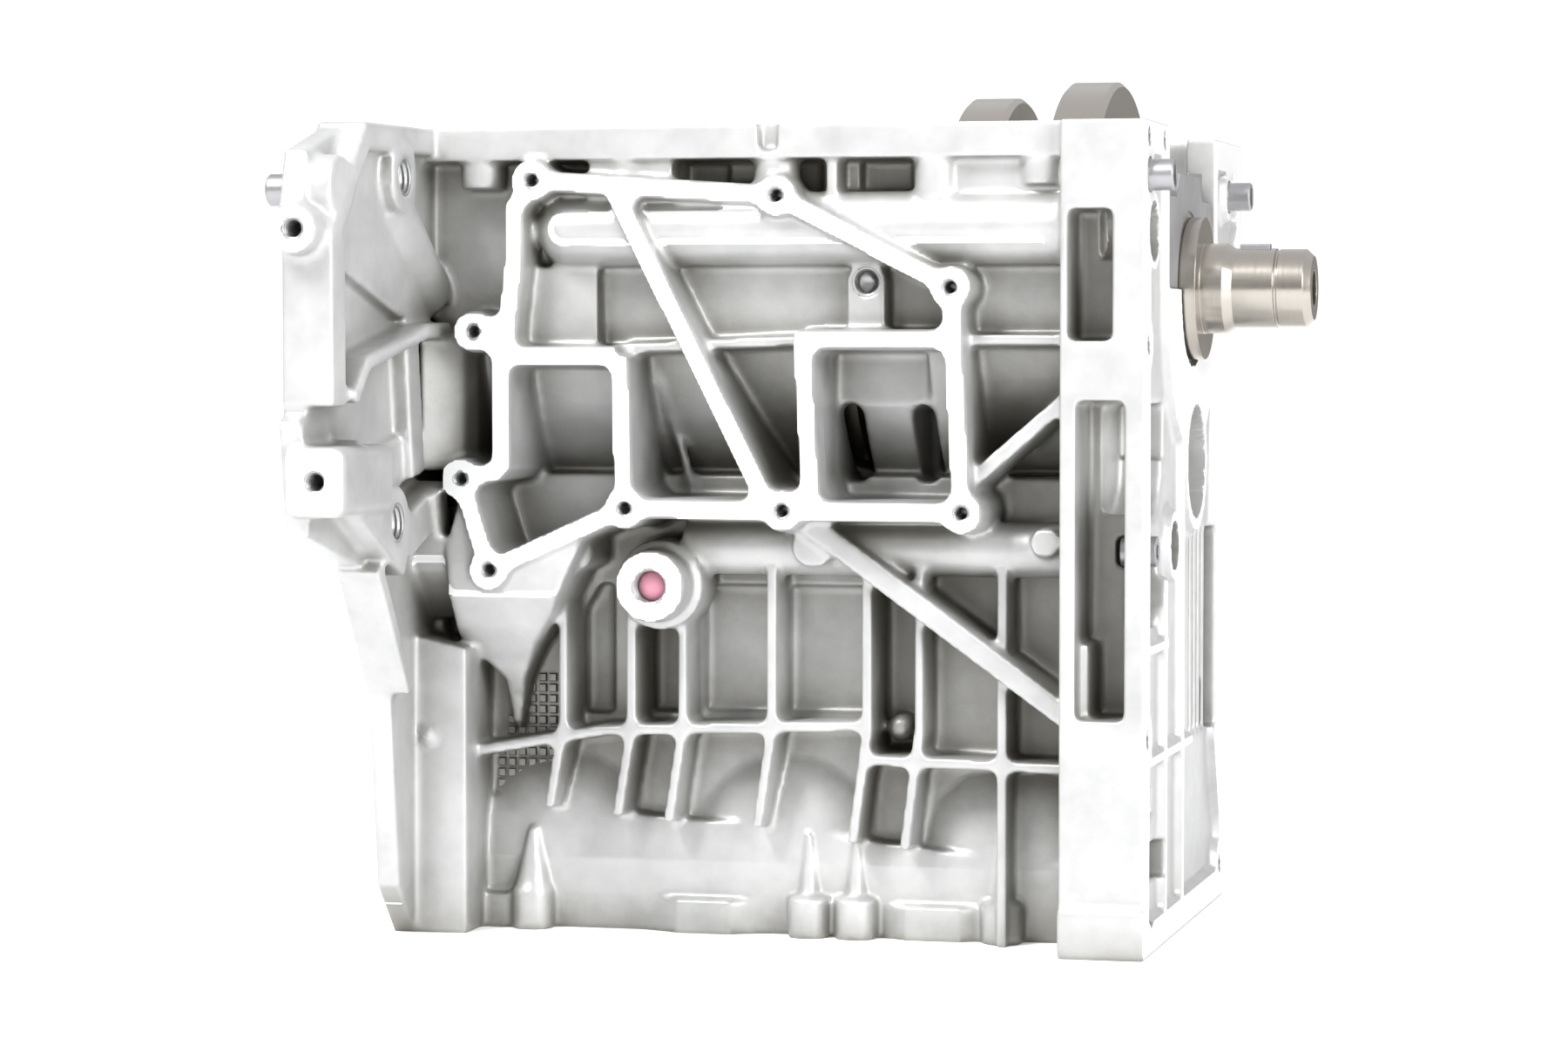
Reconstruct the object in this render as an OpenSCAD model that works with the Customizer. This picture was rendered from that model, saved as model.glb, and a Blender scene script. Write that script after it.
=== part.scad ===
// Cylinder block of an inline three-cylinder engine, with its crankshaft in place.
// The block stands upside down on the cylinder-head face, which is the plane Z = 0.
// X runs along the crankshaft towards its nose, Y runs across and Z points at the oil-pan rail.
// X = 0 is the axis of the middle cylinder and Y = 0 is the crankshaft plane. Sizes are millimetres.

/* [Cylinders] */
// Distance between neighbouring cylinder axes
cyl_pitch = 78; // [77:0.5:80]
// Diameter of each finished cylinder
bore_d = 71; // [69:0.5:72]
// Wall of each cast-iron liner
liner_wall = 2; // [1.6:0.1:2.4]
// Gap between the liners and the sweep of the counterweights
liner_gap = 6.9; // [5:0.1:10]
// Aluminium wall round each liner
barrel_wall = 3; // [2.5:0.1:3.5]
// Width of the open water jacket
jacket_gap = 5.5; // [4.5:0.1:5.8]
// Depth of the water jacket from the head face
jacket_depth = 88; // [70:1:96]
// Cylinder-head face to crankshaft axis
deck_h = 214.6; // [212:0.2:220]

/* [Crankcase] */
// Crankshaft axis to oil-pan rail
rail_h = 52.4; // [50:0.2:56]
// Thickness of the oil-pan rail
rail_t = 11; // [9:0.5:12]
// Crankshaft plane to the outer edge of the oil-pan rail
rail_y = 94; // [91:0.5:97]
// Gap between a counterweight and the crankcase wall
case_gap = 2.3; // [1.8:0.1:3]
// Wall of the crankcase
case_wall = 8; // [7:0.5:9]
// Thickness of each bulkhead and of its bearing cap
bulkhead_t = 18; // [16:0.5:20]
// End cylinder axis to the machined end face
end_len = 49.5; // [49:0.5:54]

/* [Side wall] */
// Crankshaft plane to the machined side-cover face
cover_y = 100; // [98:0.5:104]
// Crankshaft plane to the water-jacket wall
wall_y = 62; // [60:0.5:64]
// Crankshaft plane to the crest of the outside ribs
rib_y = 80; // [76:0.5:84]
// Width of an outside rib
rib_w = 3.6; // [3:0.1:5]
// Width of the side-cover land
land_w = 6.6; // [5.5:0.1:8]
// Radius of the side-cover bolt bosses
cover_boss_r = 7; // [6:0.5:8]
// Radius of the side-cover bolt holes
cover_hole_r = 2.5; // [2:0.1:3.3]
// Depth of the side-cover bolt holes
cover_hole_len = 16; // [10:1:20]
// Radius of the round port boss
port_boss_r = 11.9; // [10:0.1:13]
// Radius of the port in that boss
port_r = 5.6; // [4.5:0.1:7]
// Radius of the oil-gallery tube on the near wall
gallery_r = 9; // [8:0.5:10]

/* [End flanges] */
// Thickness of the gearbox flange
rear_t = 12; // [10:0.5:15]
// Width of the timing-side flange seen from the side
front_t = 27.9; // [26:0.1:30]
// Radius of the gearbox bolt holes
gearbox_hole_r = 5.9; // [5:0.1:6.5]
// Radius of the gearbox and timing dowels
dowel_r = 5; // [4:0.1:6]
// Length that a dowel stands out of its face
dowel_out = 8; // [5:0.5:10]

/* [Bearings] */
// Diameter of the main journals
main_d = 48; // [46:0.5:50]
// Wall of the main bearing shells
shell_t = 2; // [1.6:0.1:2.4]
// Width of the main bearing shells
shell_w = 17; // [14:0.5:18]
// Radial running gap between journal and shell
oil_gap = 0.04; // [0.02:0.01:0.08]
// Width of a bearing cap across the engine
cap_w = 104; // [100:1:108]
// Height of a bearing cap over the crankshaft axis
cap_h = 38; // [35:0.5:41]
// Height of the bolt seats over the crankshaft axis
seat_h = 30; // [27:0.5:33]
// Crankshaft plane to a cap bolt
cap_bolt_y = 37; // [35.5:0.5:40]
// Radius of a cap bolt
cap_bolt_r = 5; // [4:0.5:5.5]
// Depth of a cap bolt in the block
cap_bolt_len = 44; // [35:1:50]

/* [Crankshaft] */
// Piston stroke
stroke = 84; // [80:1:86]
// Diameter of the crankpins
pin_d = 42; // [38:0.5:44]
// Length of each crankpin
pin_len = 17; // [15:0.5:18]
// Thickness of each crank web
web_t = 17; // [14:0.5:17.5]
// Radius of the larger counterweights
weight_r = 69.7; // [66:0.1:71]
// Radius that the rear web of each throw is smaller by
weight_step = 5; // [0:0.5:8]
// Half the angle of a counterweight
weight_angle = 58; // [45:1:70]
// Radius of the web round the main journal
web_r = 31; // [28:0.5:34]
// Radius of the web round the crankpin
pin_web_r = 27; // [25:0.5:29]
// Radius of the seal collar at the nose
collar_r = 22.4; // [19:0.1:23.5]
// Radius of the nose behind its step
nose_r = 15.2; // [14:0.1:17]
// Radius of the nose in front of its step
nose_tip_r = 13.4; // [12:0.1:13.9]
// Length of the nose in front of the machined end face
nose_len = 40.8; // [36:0.1:46]
// Radius of the flywheel flange
flange_r = 38; // [36:0.5:42]
// Length of the flywheel flange behind the machined end face
flange_out = 14; // [12:0.5:16]
// Radius of the circle of flywheel bolts
flywheel_pcr = 28; // [26:0.5:30]

/* [Hidden] */
$fn = 64;

// Amount that a cut runs past the face it opens
past = 1;
cyl_x = [cyl_pitch, 0, -cyl_pitch];
bulkhead_x = [1.5 * cyl_pitch, 0.5 * cyl_pitch, -0.5 * cyl_pitch, -1.5 * cyl_pitch];
front_x = cyl_pitch + end_len;
rear_x = -front_x;
flange_x = rear_x - flange_out;
rail_z = deck_h + rail_h;
liner_r = bore_d / 2 + liner_wall;
liner_len = deck_h - weight_r - liner_gap;
barrel_r = liner_r + barrel_wall;
jacket_r = barrel_r + jacket_gap;
case_r = weight_r + case_gap;
case_out = case_r + case_wall;
case_bottom = deck_h - case_out;
bay_len = cyl_pitch - bulkhead_t;
main_r = main_d / 2;
pin_r = pin_d / 2;
housing_r = main_r + oil_gap + shell_t;
crank_throw = stroke / 2;

// Sides of the bays that the head bolts stand in
head_bolt_y = 47;
head_bolt_r = 5.5;
head_bolt_len = 80;
head_boss_r = 9;

// Bolts of the side cover, as X and height over the crankshaft axis
cover_bolts = [[-75.4, 34.7], [6.9, 29.2], [64.3, -0.5], [68, -72.8], [8.9, -72.5],
    [-44, -72.2], [-90.3, -92.9], [-99.9, -63], [-95.4, -14.6]];
// Corners of the land round the side cover
cover_ring = [[-75.4, 34.7], [6.9, 29.2], [64.3, -0.5], [68, -72.8], [8.9, -72.5], [-44, -72.2],
    [-90.3, -92.9], [-99.9, -63], [-85.9, -60.1], [-86.2, -25.6], [-84, -14.6], [-81.5, 8.4], [-81.5, 25.4]];
// Inner lands of the side cover, and the land of a bolt outside the ring, as pairs of ends
cover_lands = [[[-86, -22.6], [-47, -22.6]], [[-45.6, -22.6], [-44.3, -70]], [[15.6, -17.2], [18.5, -70]],
    [[13, -17.2], [66, -17.2]], [[-48.7, 33.9], [1.1, -65]], [[-95.4, -14.6], [-84, -14.6]]];
// Radius of the fillets between the lands
land_fillet = 3;

// Outside ribs of the near wall, as X, with the height where they start to lean and the lean at their foot
wall_ribs = [-71.1, -47.5, -29.9, 0.4, 32.6, 50];
rib_lean_z = 69;
rib_lean = 5;
// Rib that runs down to the head face
long_rib_x = 77.4;
wall_rib_top = case_bottom - 11.6;
// Ramp under the lower corner of the side cover: its outline as X and Z, and its slope as Y and Z
ramp_outline = [[-106, 98.2], [-93.5, 83.8], [-92.6, 69], [-89.5, 66], [-86, 84], [-80.4, 95.7],
    [-71.2, 107.5], [-58, case_bottom - 0.6], [-90.3, case_bottom - 12.9], [-100, case_bottom + 15.4],
    [-106, case_bottom - 4.6]];
ramp_slope = [[-61, 64], [-67, 64], [-70, 78], [-77, 90], [-87, 102], [-95, 113],
    [-97.5, case_bottom - 10], [-97.5, case_bottom + 16], [-61, case_bottom + 16]];
// Lower smooth band: X and height of the points of its top edge
band_top = [[-98, 43.6], [-57, 40.2], [-32, 37.7], [0.3, 36.7], [30, 32.5], [78, 27], [95, 26.3]];
band_left_z = 45.2;
// Domes of the band in front of the cylinders: radius, and centre from the cylinder axis
dome_r = 81.3;
dome_at = [2, 12.3, 26];
dome_half = 32;
dome_top = 64;
band_out = 6;
band_roof_z = 50;
// Width of the land of the gearbox face over the water jacket
jacket_land_w = 36;
deck_rail_t = 11.4;
deck_rail_out = 6;
// Bosses along the head face, as X and radius of the pointed rib over each
deck_bosses = [[-84.6, 6.7], [10.7, 3.4], [26.7, 3.4], [75.9, 3]];
deck_boss_r = 7;
deck_point_h = 22;
gallery_z = case_bottom - 5.6;
gallery_y = 72;
gallery_plug_r = 5;
gallery_plug_len = 11.5;
// Small round bosses along the gallery tube, as X, height over the tube axis and radius
gallery_bosses = [[-65, -2, 6], [15.6, 1, 7], [92.7, 3, 5]];
port_x = -36.9;
port_z = case_bottom - 17.9;
port_y = 95;
port_step = 3;
plug_len = 11;
// Bolt bosses of the oil-pan rail, as X, near side and far side
near_pan_bolts = [-96, -46, 4, 92];
far_pan_bolts = [-96, -46, 4, 54, 100];
pan_bolt_in = 8;
pan_boss_h = 20;
pan_boss_r = 7.5;
pan_hole_r = 3.4;
pan_hole_len = 18;
// Solid stretches under the near rail, as first X, last X and how far they stop behind the rail edge
rail_fills = [[-58, -30, 2], [21.5, 25.5, 2], [64, 98, 5]];
rail_fill_h = 24;
// Dark pockets under the near rail, as first X, last X, height and depth
rail_pockets = [[30.5, 47.4, 11, 5], [-28.6, -13.8, 9.4, 4], [6, 17.5, 14, 4]];
// Boss with a hole under the rail, as X and height over the crankshaft axis
hole_boss = [34.2, 1.4];
hole_boss_r = 6.6;
hole_boss_out = 8;
hole_boss_hole_r = 4.4;
upper_tube_r = 12;
upper_tube_y = 84;
upper_tube_z = deck_h + 18.9;
upper_tube_x = -66;
rail_column_x = 57;
rail_column_r = 6.9;
// Vent window: a recess with two slots into the crankcase, one each side of a bulkhead
window_x = 20;
window_w = 32;
window_z = deck_h - 64;
window_h = 43;
window_back_y = -case_r + 2;
window_slot_h = 22;
// Slots of the vent window, as lowest X and width
window_slots = [[20.5, 8], [0.5 * cyl_pitch + bulkhead_t / 2 - 2.5, 7]];

// Gearbox flange, near side and far side, as Y and Z
rear_outline = [[-90, 0], [-106, 17], [-114, 81], [-144, deck_h - 89.6], [-190, deck_h - 78.6],
    [-196, deck_h - 42.6], [-178, deck_h - 32.6], [-176, deck_h + 7.4], [-196, deck_h + 21.4],
    [-190, deck_h + 41.4], [-160, deck_h + 49.4], [-120, rail_z], [104, rail_z], [140, deck_h + 31.4],
    [152, deck_h - 9.6], [146, deck_h - 64.6], [122, 96], [104, 40], [100, 0]];
// Bolt holes of the gearbox flange, as Y and Z
gearbox_bolts = [[-125.5, deck_h + 35.4], [-134, deck_h - 76], [88, 14], [132, deck_h - 62.6],
    [112, deck_h + 35.4]];
// Threaded hole of the corner post, as Y and Z
post_hole = [-82, 77];
// Dowels of the gearbox flange, as Y and Z
gearbox_dowel_at = [[-180, deck_h + 29.4], [134, deck_h + 7.4]];
// Depth of the dowels in the gearbox face and in the timing face, and the extra radius of their pressed part
gearbox_dowel_in = 12;
timing_dowel_in = 10;
dowel_press = 0.3;
dowel_wall = 1.5;
dowel_chamfer = 0.5;
// Ribs of the gearbox flange on the near side: ends as Y and height over the axis, width and height
flange_ribs = [[[-186, -38], [-186, 14], 13, 5], [[-190, 13], [-158, 47], 8, 5],
    [[-160, 47], [-64, 48], 9, 5], [[-84, -14], [-108, -14.4], 5, 8],
    [[-107, -14.4], [-166, -24.5], 5, 8], [[-165, -24], [-178, -36], 5, 8],
    [[-176, -58], [-122, -84], 22, 6], [[-124, -82], [-88, -70], 14, 6], [[-97, -66], [-88, -90], 13, 8],
    [[-90, -88], [-68, -106], 13, 8], [[-110, -18], [-104, -62], 13, 3], [[-142, -90], [-112, -132], 6, 3]];
// Raised plate of the gearbox flange above its curved rib and facet below it, as Y and height over the axis
flange_plate = [[-186, 21], [-174, 6], [-114, -10], [-79, -10], [-79, 47], [-160, 47]];
flange_facet = [[-150, -55], [-104, -47], [-79, -49], [-116, -68]];
// Floor between the gearbox flange and the side cover: outline as X and Y, lowest Z and height
flange_floor = [[rear_x + rear_t - past, -94], [-103, -85], [-100, -80], [-100, -60],
    [rear_x + rear_t - past, -60]];
flange_floor_z = deck_h - 60.6;
flange_floor_h = 45;
// Round column from the upper bolt of the gearbox flange down to the crankcase
flange_column_r = 10;
// Corner post of the gearbox flange: outer edge in Y, height and width along the crankshaft
post_y = 90;
post_h = 97;
post_w = 26.1;
// Groove round the seal at the crankshaft flange
seal_gap = 3;
seal_depth = 2;
// Side bosses of the gearbox flange: X, Z, boss radius, hole radius, face
side_boss_a = [-120.9, deck_h + 16.9];
side_boss_a_y = 200;
side_boss_b = [-115.5, deck_h - 61.3];
side_boss_b_y = 196;
side_boss_b_w = 20;
side_boss_r = 8;
side_hole_r = 3.3;
side_hole_len = 18;

// Timing flange, as Y and Z
front_outline = [[-cover_y, 0], [-cover_y, rail_z], [115, rail_z], [115, rail_z - 32], [70, deck_h - 18.6],
    [62, deck_h - 54.6], [62, 60], [75, 30], [75, 0]];
// Dowels of the timing face, as Y and Z
timing_dowel_at = [[-92, deck_h + 35], [83, deck_h + 33.4]];
// Threaded holes of the timing face, as Y and Z
timing_holes = [[-93, deck_h - 18.6], [-93, 70], [-93, rail_z - 5], [104, rail_z - 16], [66, 12],
    [-62, rail_z - 5]];
// Round ports of the timing face, as Y, Z, radius, depth and width of the land left round them
timing_ports = [[8.5, 156, 19, 14, 5], [-38.5, 129.5, 8.2, 20, 3.8], [-83, 232, 9.3, 18, 3.7]];
// Width of the machined rim round each end face
face_rim = 11;

// Mounting bosses of the far wall, as X and Z, with their height over the ribs and their threaded holes
far_boss_at = [[-60, deck_h - 58], [-60, deck_h - 2], [30, deck_h - 58], [30, deck_h - 2]];
far_boss_r = 11;
far_boss_out = 16;
far_hole_r = 4.2;

// Cupped plugs of the water jacket: height, radius, wall and how far their rim stands in and out of the wall
core_plug_z = 58;
core_plug_r = 15;
core_plug_wall = 1.5;
core_plug_in = 5;
core_plug_out = 4;
core_boss_r = 19;
core_boss_out = 6;

// Key of the crank nose: start in front of the timing face, length, width and depth
key_x = 16;
key_len = 10;
key_w = 5;
key_z = 10;
// Flywheel bolt holes, their dowel and the pilot hole of the crankshaft
flywheel_hole_r = 4.5;
flywheel_hole_len = 11;
flywheel_dowel_r = 3;
flywheel_dowel_out = 4;
pilot_r = 10;
pilot_len = 13;

// Thrust washer thickness, outer radius and end float
washer_t = 2.3;
washer_r = 31;
end_float = 0.1;

// Rod along X between two faces
module rod_x(x0, x1, y, z, r) {
    translate([x0, y, z])
        rotate([0, 90, 0])
            cylinder(h = x1 - x0, r = r);
}

// Rod along Y between two faces
module rod_y(y0, y1, x, z, r) {
    translate([x, y1, z])
        rotate([90, 0, 0])
            cylinder(h = y1 - y0, r = r);
}

// Outline in Y and Z, pushed along X
module along_x(x0, x1) {
    translate([x0, 0, 0])
        rotate([90, 0, 90])
            linear_extrude(x1 - x0)
                children();
}

// Outline in X and Z, pushed along Y
module along_y(y0, y1) {
    translate([0, y1, 0])
        rotate([90, 0, 0])
            linear_extrude(y1 - y0)
                children();
}

// Round rod between two points
module round_rod(a, b, r) {
    d = b - a;
    translate(a)
        rotate([0, acos(d[2] / norm(d)), atan2(d[1], d[0])])
            cylinder(h = norm(d), r = r);
}

// Flat bar between two points
module bar(a, b, w) {
    translate(a)
        rotate(atan2(b[1] - a[1], b[0] - a[0]))
            translate([0, -w / 2])
                square([norm(b - a), w]);
}

// Box between two corners
module block_of(a, b) {
    translate(a)
        cube(b - a);
}

// Solid shape of the crankcase and of the water-jacket wall, before it is hollowed
module casting_core() {
    half = front_x - rear_t;
    block_of([-half, -wall_y, 0], [half, wall_y, deck_h - case_r + 10]);
    difference() {
        rod_x(-half, half, 0, deck_h, case_out);
        block_of([-front_x, -case_out - past, deck_h], [front_x, case_out + past, deck_h + case_out + past]);
    }
    block_of([-half, -case_out, deck_h - past], [half, case_out, rail_z]);
    block_of([-half, -rail_y, rail_z - rail_t], [half, rail_y, rail_z]);
}

// Land that the side cover bolts to, with its inner ribs
module cover_land_outline() {
    count = len(cover_ring);
    offset(r = -land_fillet, $fn = 12)
        offset(delta = land_fillet)
            union() {
                for (i = [0:count - 1])
                    bar(cover_ring[i], cover_ring[(i + 1) % count], land_w);
                for (at = cover_bolts)
                    translate(at)
                        circle(r = cover_boss_r, $fn = 24);
                for (land = cover_lands)
                    bar(land[0], land[1], land_w);
            }
}

module cover_frame() {
    translate([0, 0, deck_h])
        along_y(-cover_y, -wall_y + 12)
            cover_land_outline();
}

// Ribs of the near wall
module near_ribs() {
    wall = -wall_y + past;
    along_y(-rib_y, wall)
        offset(r = -2, $fn = 8)
            offset(delta = 2)
                union() {
                    for (x = wall_ribs) {
                        bar([x, rib_lean_z], [x, wall_rib_top], rib_w);
                        bar([x - rib_lean, lookup(x, band_top)], [x, rib_lean_z + 1], rib_w);
                    }
                    bar([long_rib_x, 0], [long_rib_x, wall_rib_top], rib_w);
                    bar([-100, 60.3], [-57.5, 67.8], rib_w);
                    bar([-57.5, 67.8], [29.7, 71.1], rib_w);
                    bar([35.5, 59.9], [104, 58.4], rib_w);
                }
    along_y(-rib_y - 8, wall)
        bar([14, 138], [104, 73], 7.5);
    along_y(-cover_y + 6, -wall_y)
        bar([70, deck_h - 62.6], [104, deck_h - 33.6], 5);
    along_y(-cover_y + 8, -case_out + 12) {
        bar([-48, deck_h - 20.2], [14, deck_h - 17.4], rib_w);
        bar([62, deck_h - 17.4], [104, deck_h - 17.4], rib_w);
    }
}

// Smooth band over the head face, with the rail, bosses and pointed ribs
module near_deck_edge() {
    left = rear_x + rear_t - past;
    right = front_x - front_t + past;
    intersection() {
        along_x(left, right)
            polygon([[-wall_y + past, 0], [-wall_y - band_out + 2, 0], [-wall_y - band_out, 12],
                [-wall_y - band_out - 1, 24], [-wall_y - band_out + 1, 38], [-wall_y, band_roof_z],
                [-wall_y + past, band_roof_z]]);
        along_y(-wall_y - 2 * band_out, -wall_y + 2 * past)
            polygon(concat([[left, 0], [left, band_left_z]], band_top,
                [[right, band_top[len(band_top) - 1][1]], [right, 0]]));
    }
    for (x = cyl_x)
        intersection() {
            translate([x + dome_at[0], dome_at[1], dome_at[2]])
                sphere(r = dome_r);
            block_of([max(x - dome_half, left), -wall_y - 2 * band_out, 0],
                [min(x + dome_half, right), -wall_y + past, dome_top]);
        }
    difference() {
        block_of([left, -wall_y - deck_rail_out - 4, 0], [right, -wall_y + past, deck_rail_t]);
        for (x = cyl_x)
            translate([x + 14, -wall_y - 62, -past])
                cylinder(h = deck_rail_t + 2 * past, r = 60, $fn = 96);
    }
    for (boss = deck_bosses)
        translate([boss[0], -wall_y - deck_rail_out - 2, 0]) {
            cylinder(h = deck_rail_t + 2, r = deck_boss_r);
            translate([0, 0.5, deck_rail_t + 1])
                cylinder(h = deck_point_h, r1 = boss[1], r2 = boss[1] / 5, $fn = 10);
        }
}

// Bosses, tubes and ramps of the near wall
module near_bosses() {
    rod_x(-30, front_x - front_t + past, -gallery_y, gallery_z, gallery_r);
    rod_y(-port_y, -wall_y + past, port_x, port_z, port_boss_r);
    rod_y(-port_y + 12, -wall_y + past, port_x, port_z, port_boss_r + port_step);
    intersection() {
        along_x(-front_x, 0)
            polygon(ramp_slope);
        along_y(-cover_y, -wall_y + past)
            polygon(ramp_outline);
    }
    rod_x(upper_tube_x, front_x - front_t + past, -upper_tube_y, upper_tube_z, upper_tube_r);
    translate([upper_tube_x, -upper_tube_y, upper_tube_z])
        sphere(r = upper_tube_r);
    for (fill = rail_fills)
        block_of([fill[0], -rail_y + fill[2], rail_z - rail_fill_h],
            [fill[1], -case_out + past, rail_z - rail_t + past]);
    translate([rail_column_x, -rail_y + 7, rail_z - rail_fill_h])
        cylinder(h = rail_fill_h - rail_t + past, r = rail_column_r);
    // Boss with a hole, on a block that fades into the crankcase
    boss_z = deck_h + hole_boss[1];
    rod_y(-case_out - hole_boss_out, -case_out + 6, hole_boss[0], boss_z, hole_boss_r);
    block_of([hole_boss[0] - hole_boss_r + 0.1, -case_out - hole_boss_out, boss_z - 14],
        [hole_boss[0] + hole_boss_r - 0.1, -case_out + 6, boss_z]);
    for (boss = gallery_bosses)
        rod_y(-gallery_y - 14, -wall_y, boss[0], gallery_z + boss[1], boss[2]);
    for (x = near_pan_bolts)
        translate([x, -rail_y + pan_bolt_in, rail_z - pan_boss_h])
            cylinder(h = pan_boss_h - past, r = pan_boss_r);
    // Pad in the upper left corner of the side cover
    block_of([-79, -case_out - 6, deck_h - 19], [-57, -case_out + 8, deck_h + 7]);
}

// Plain far wall, with its ribs, plug bosses and mounting bosses
module far_side() {
    wall = wall_y - past;
    left = rear_x + rear_t - past;
    right = front_x - 16 + past;
    for (x = bulkhead_x)
        block_of([x - rib_w / 2, wall, 10], [x + rib_w / 2, rib_y, deck_h - 20]);
    for (x = cyl_x)
        rod_y(wall, wall_y + core_boss_out, x, core_plug_z, core_boss_r);
    block_of([left, wall, 0], [right, wall_y + deck_rail_out, deck_rail_t]);
    block_of([left, wall, 92], [right, rib_y - 6, 96]);
    block_of([left, wall, deck_h - 42], [right, rib_y + 6, deck_h - 38]);
    rod_x(left, right, gallery_y - 2, gallery_z - 8, gallery_r);
    for (at = far_boss_at)
        rod_y(wall_y - 10, rib_y + far_boss_out, at[0], at[1], far_boss_r);
    for (x = far_pan_bolts)
        translate([x, rail_y - pan_bolt_in, rail_z - pan_boss_h])
            cylinder(h = pan_boss_h - past, r = pan_boss_r);
}

// Flange that the timing cover bolts to
module timing_flange() {
    wing_x = front_x - front_t;
    intersection() {
        along_x(wing_x, front_x)
            polygon(front_outline);
        block_of([wing_x - past, -cover_y - past, -past], [front_x + past, -wall_y + 8, rail_z + past]);
    }
    along_x(front_x - 16, front_x)
        polygon(front_outline);
    block_of([wing_x, -cover_y - 2.5, 0], [front_x, -wall_y, 16]);
}

// Flange that the gearbox bolts to, with the ribs that brace it
module gearbox_flange() {
    inner = rear_x + rear_t;
    along_x(rear_x, inner - 4)
        polygon(rear_outline);
    for (at = gearbox_bolts)
        rod_x(rear_x, inner + 6, at[0], at[1], 12);
    for (at = gearbox_dowel_at)
        rod_x(rear_x, inner + 4, at[0], at[1], 11);
    // Boss with a hole across the flange, at the upper near corner
    rod_y(-side_boss_a_y, -130, side_boss_a[0], side_boss_a[1], side_boss_r - 2);
    rod_y(-side_boss_a_y, -side_boss_a_y + 16, side_boss_a[0], side_boss_a[1], side_boss_r);
    // Square boss below it
    along_y(-side_boss_b_y, -150)
        translate(side_boss_b)
            offset(r = 4, $fn = 24)
                square([side_boss_b_w - 8, side_boss_b_w - 6], center = true);
    // Ribs, raised plate, facet and column of the near side
    for (rib = flange_ribs)
        along_x(rear_x, inner + rib[3])
            translate([0, deck_h])
                bar(rib[0], rib[1], rib[2]);
    along_x(rear_x, inner)
        translate([0, deck_h])
            polygon(flange_plate);
    along_x(rear_x, inner - 1)
        translate([0, deck_h])
            polygon(flange_facet);
    translate([0, 0, flange_floor_z])
        linear_extrude(flange_floor_h)
            polygon(flange_floor);
    round_rod([inner - 4, gearbox_bolts[0][0], gearbox_bolts[0][1] - 6], [inner - 4, -case_out, deck_h - 3],
        flange_column_r);
    // Corner post and far-side braces
    block_of([rear_x, -wall_y - 8, 0], [inner, -wall_y + 8, case_bottom + 5.4]);
    intersection() {
        block_of([rear_x, -post_y, 0], [rear_x + post_w, -wall_y, post_h + 4]);
        along_y(-post_y - past, -wall_y + past)
            polygon([[rear_x, 0], [rear_x, post_h + 4], [rear_x + post_w, post_h - 2], [rear_x + post_w, 0]]);
    }
    along_x(rear_x, inner + 10) {
        bar([76, deck_h], [146, deck_h + 6], 5);
        bar([58, 120], [132, 150], 5);
        bar([58, 60], [104, 70], 5);
    }
}

// Room for the crankshaft, the caps and the cylinders
module crank_room() {
    for (x = cyl_x) {
        rod_x(x - bay_len / 2, x + bay_len / 2, 0, deck_h, case_r);
        block_of([x - bay_len / 2, -case_r, deck_h], [x + bay_len / 2, case_r, rail_z + past]);
        translate([x, 0, -past])
            cylinder(h = liner_len + past, r = liner_r);
        intersection() {
            translate([x, 0, liner_len - past])
                cylinder(h = deck_h - liner_len, r = liner_r - 0.8);
            block_of([x - bay_len / 2, -case_r, 0], [x + bay_len / 2, case_r, deck_h - case_r + 20]);
        }
    }
    end = front_x + past;
    block_of([-end, -cap_w / 2, deck_h], [end, cap_w / 2, rail_z + past]);
    block_of([-end + 2 * past + rear_t, -case_r, deck_h + seat_h], [end - 12, case_r, rail_z + past]);
    rod_x(-end, end, 0, deck_h, housing_r);
    for (x = bulkhead_x)
        for (side = [-1, 1])
            translate([x, side * cap_bolt_y, deck_h - cap_bolt_len - 6])
                cylinder(h = cap_bolt_len + 6 + past, r = cap_bolt_r + 0.1, $fn = 40);
}

// Open water jacket and head-bolt holes in the head face
module head_face_cuts() {
    difference() {
        for (x = cyl_x)
            translate([x, 0, -past])
                cylinder(h = jacket_depth + past, r = jacket_r);
        for (x = cyl_x)
            translate([x, 0, -2 * past])
                cylinder(h = jacket_depth + 3 * past, r = barrel_r);
        for (x = bulkhead_x)
            for (side = [-1, 1])
                translate([x, side * head_bolt_y, -2 * past])
                    cylinder(h = jacket_depth + 3 * past, r = head_boss_r);
    }
    for (x = bulkhead_x)
        for (side = [-1, 1])
            translate([x, side * head_bolt_y, -past])
                cylinder(h = head_bolt_len + past, r = head_bolt_r, $fn = 40);
}

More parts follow.
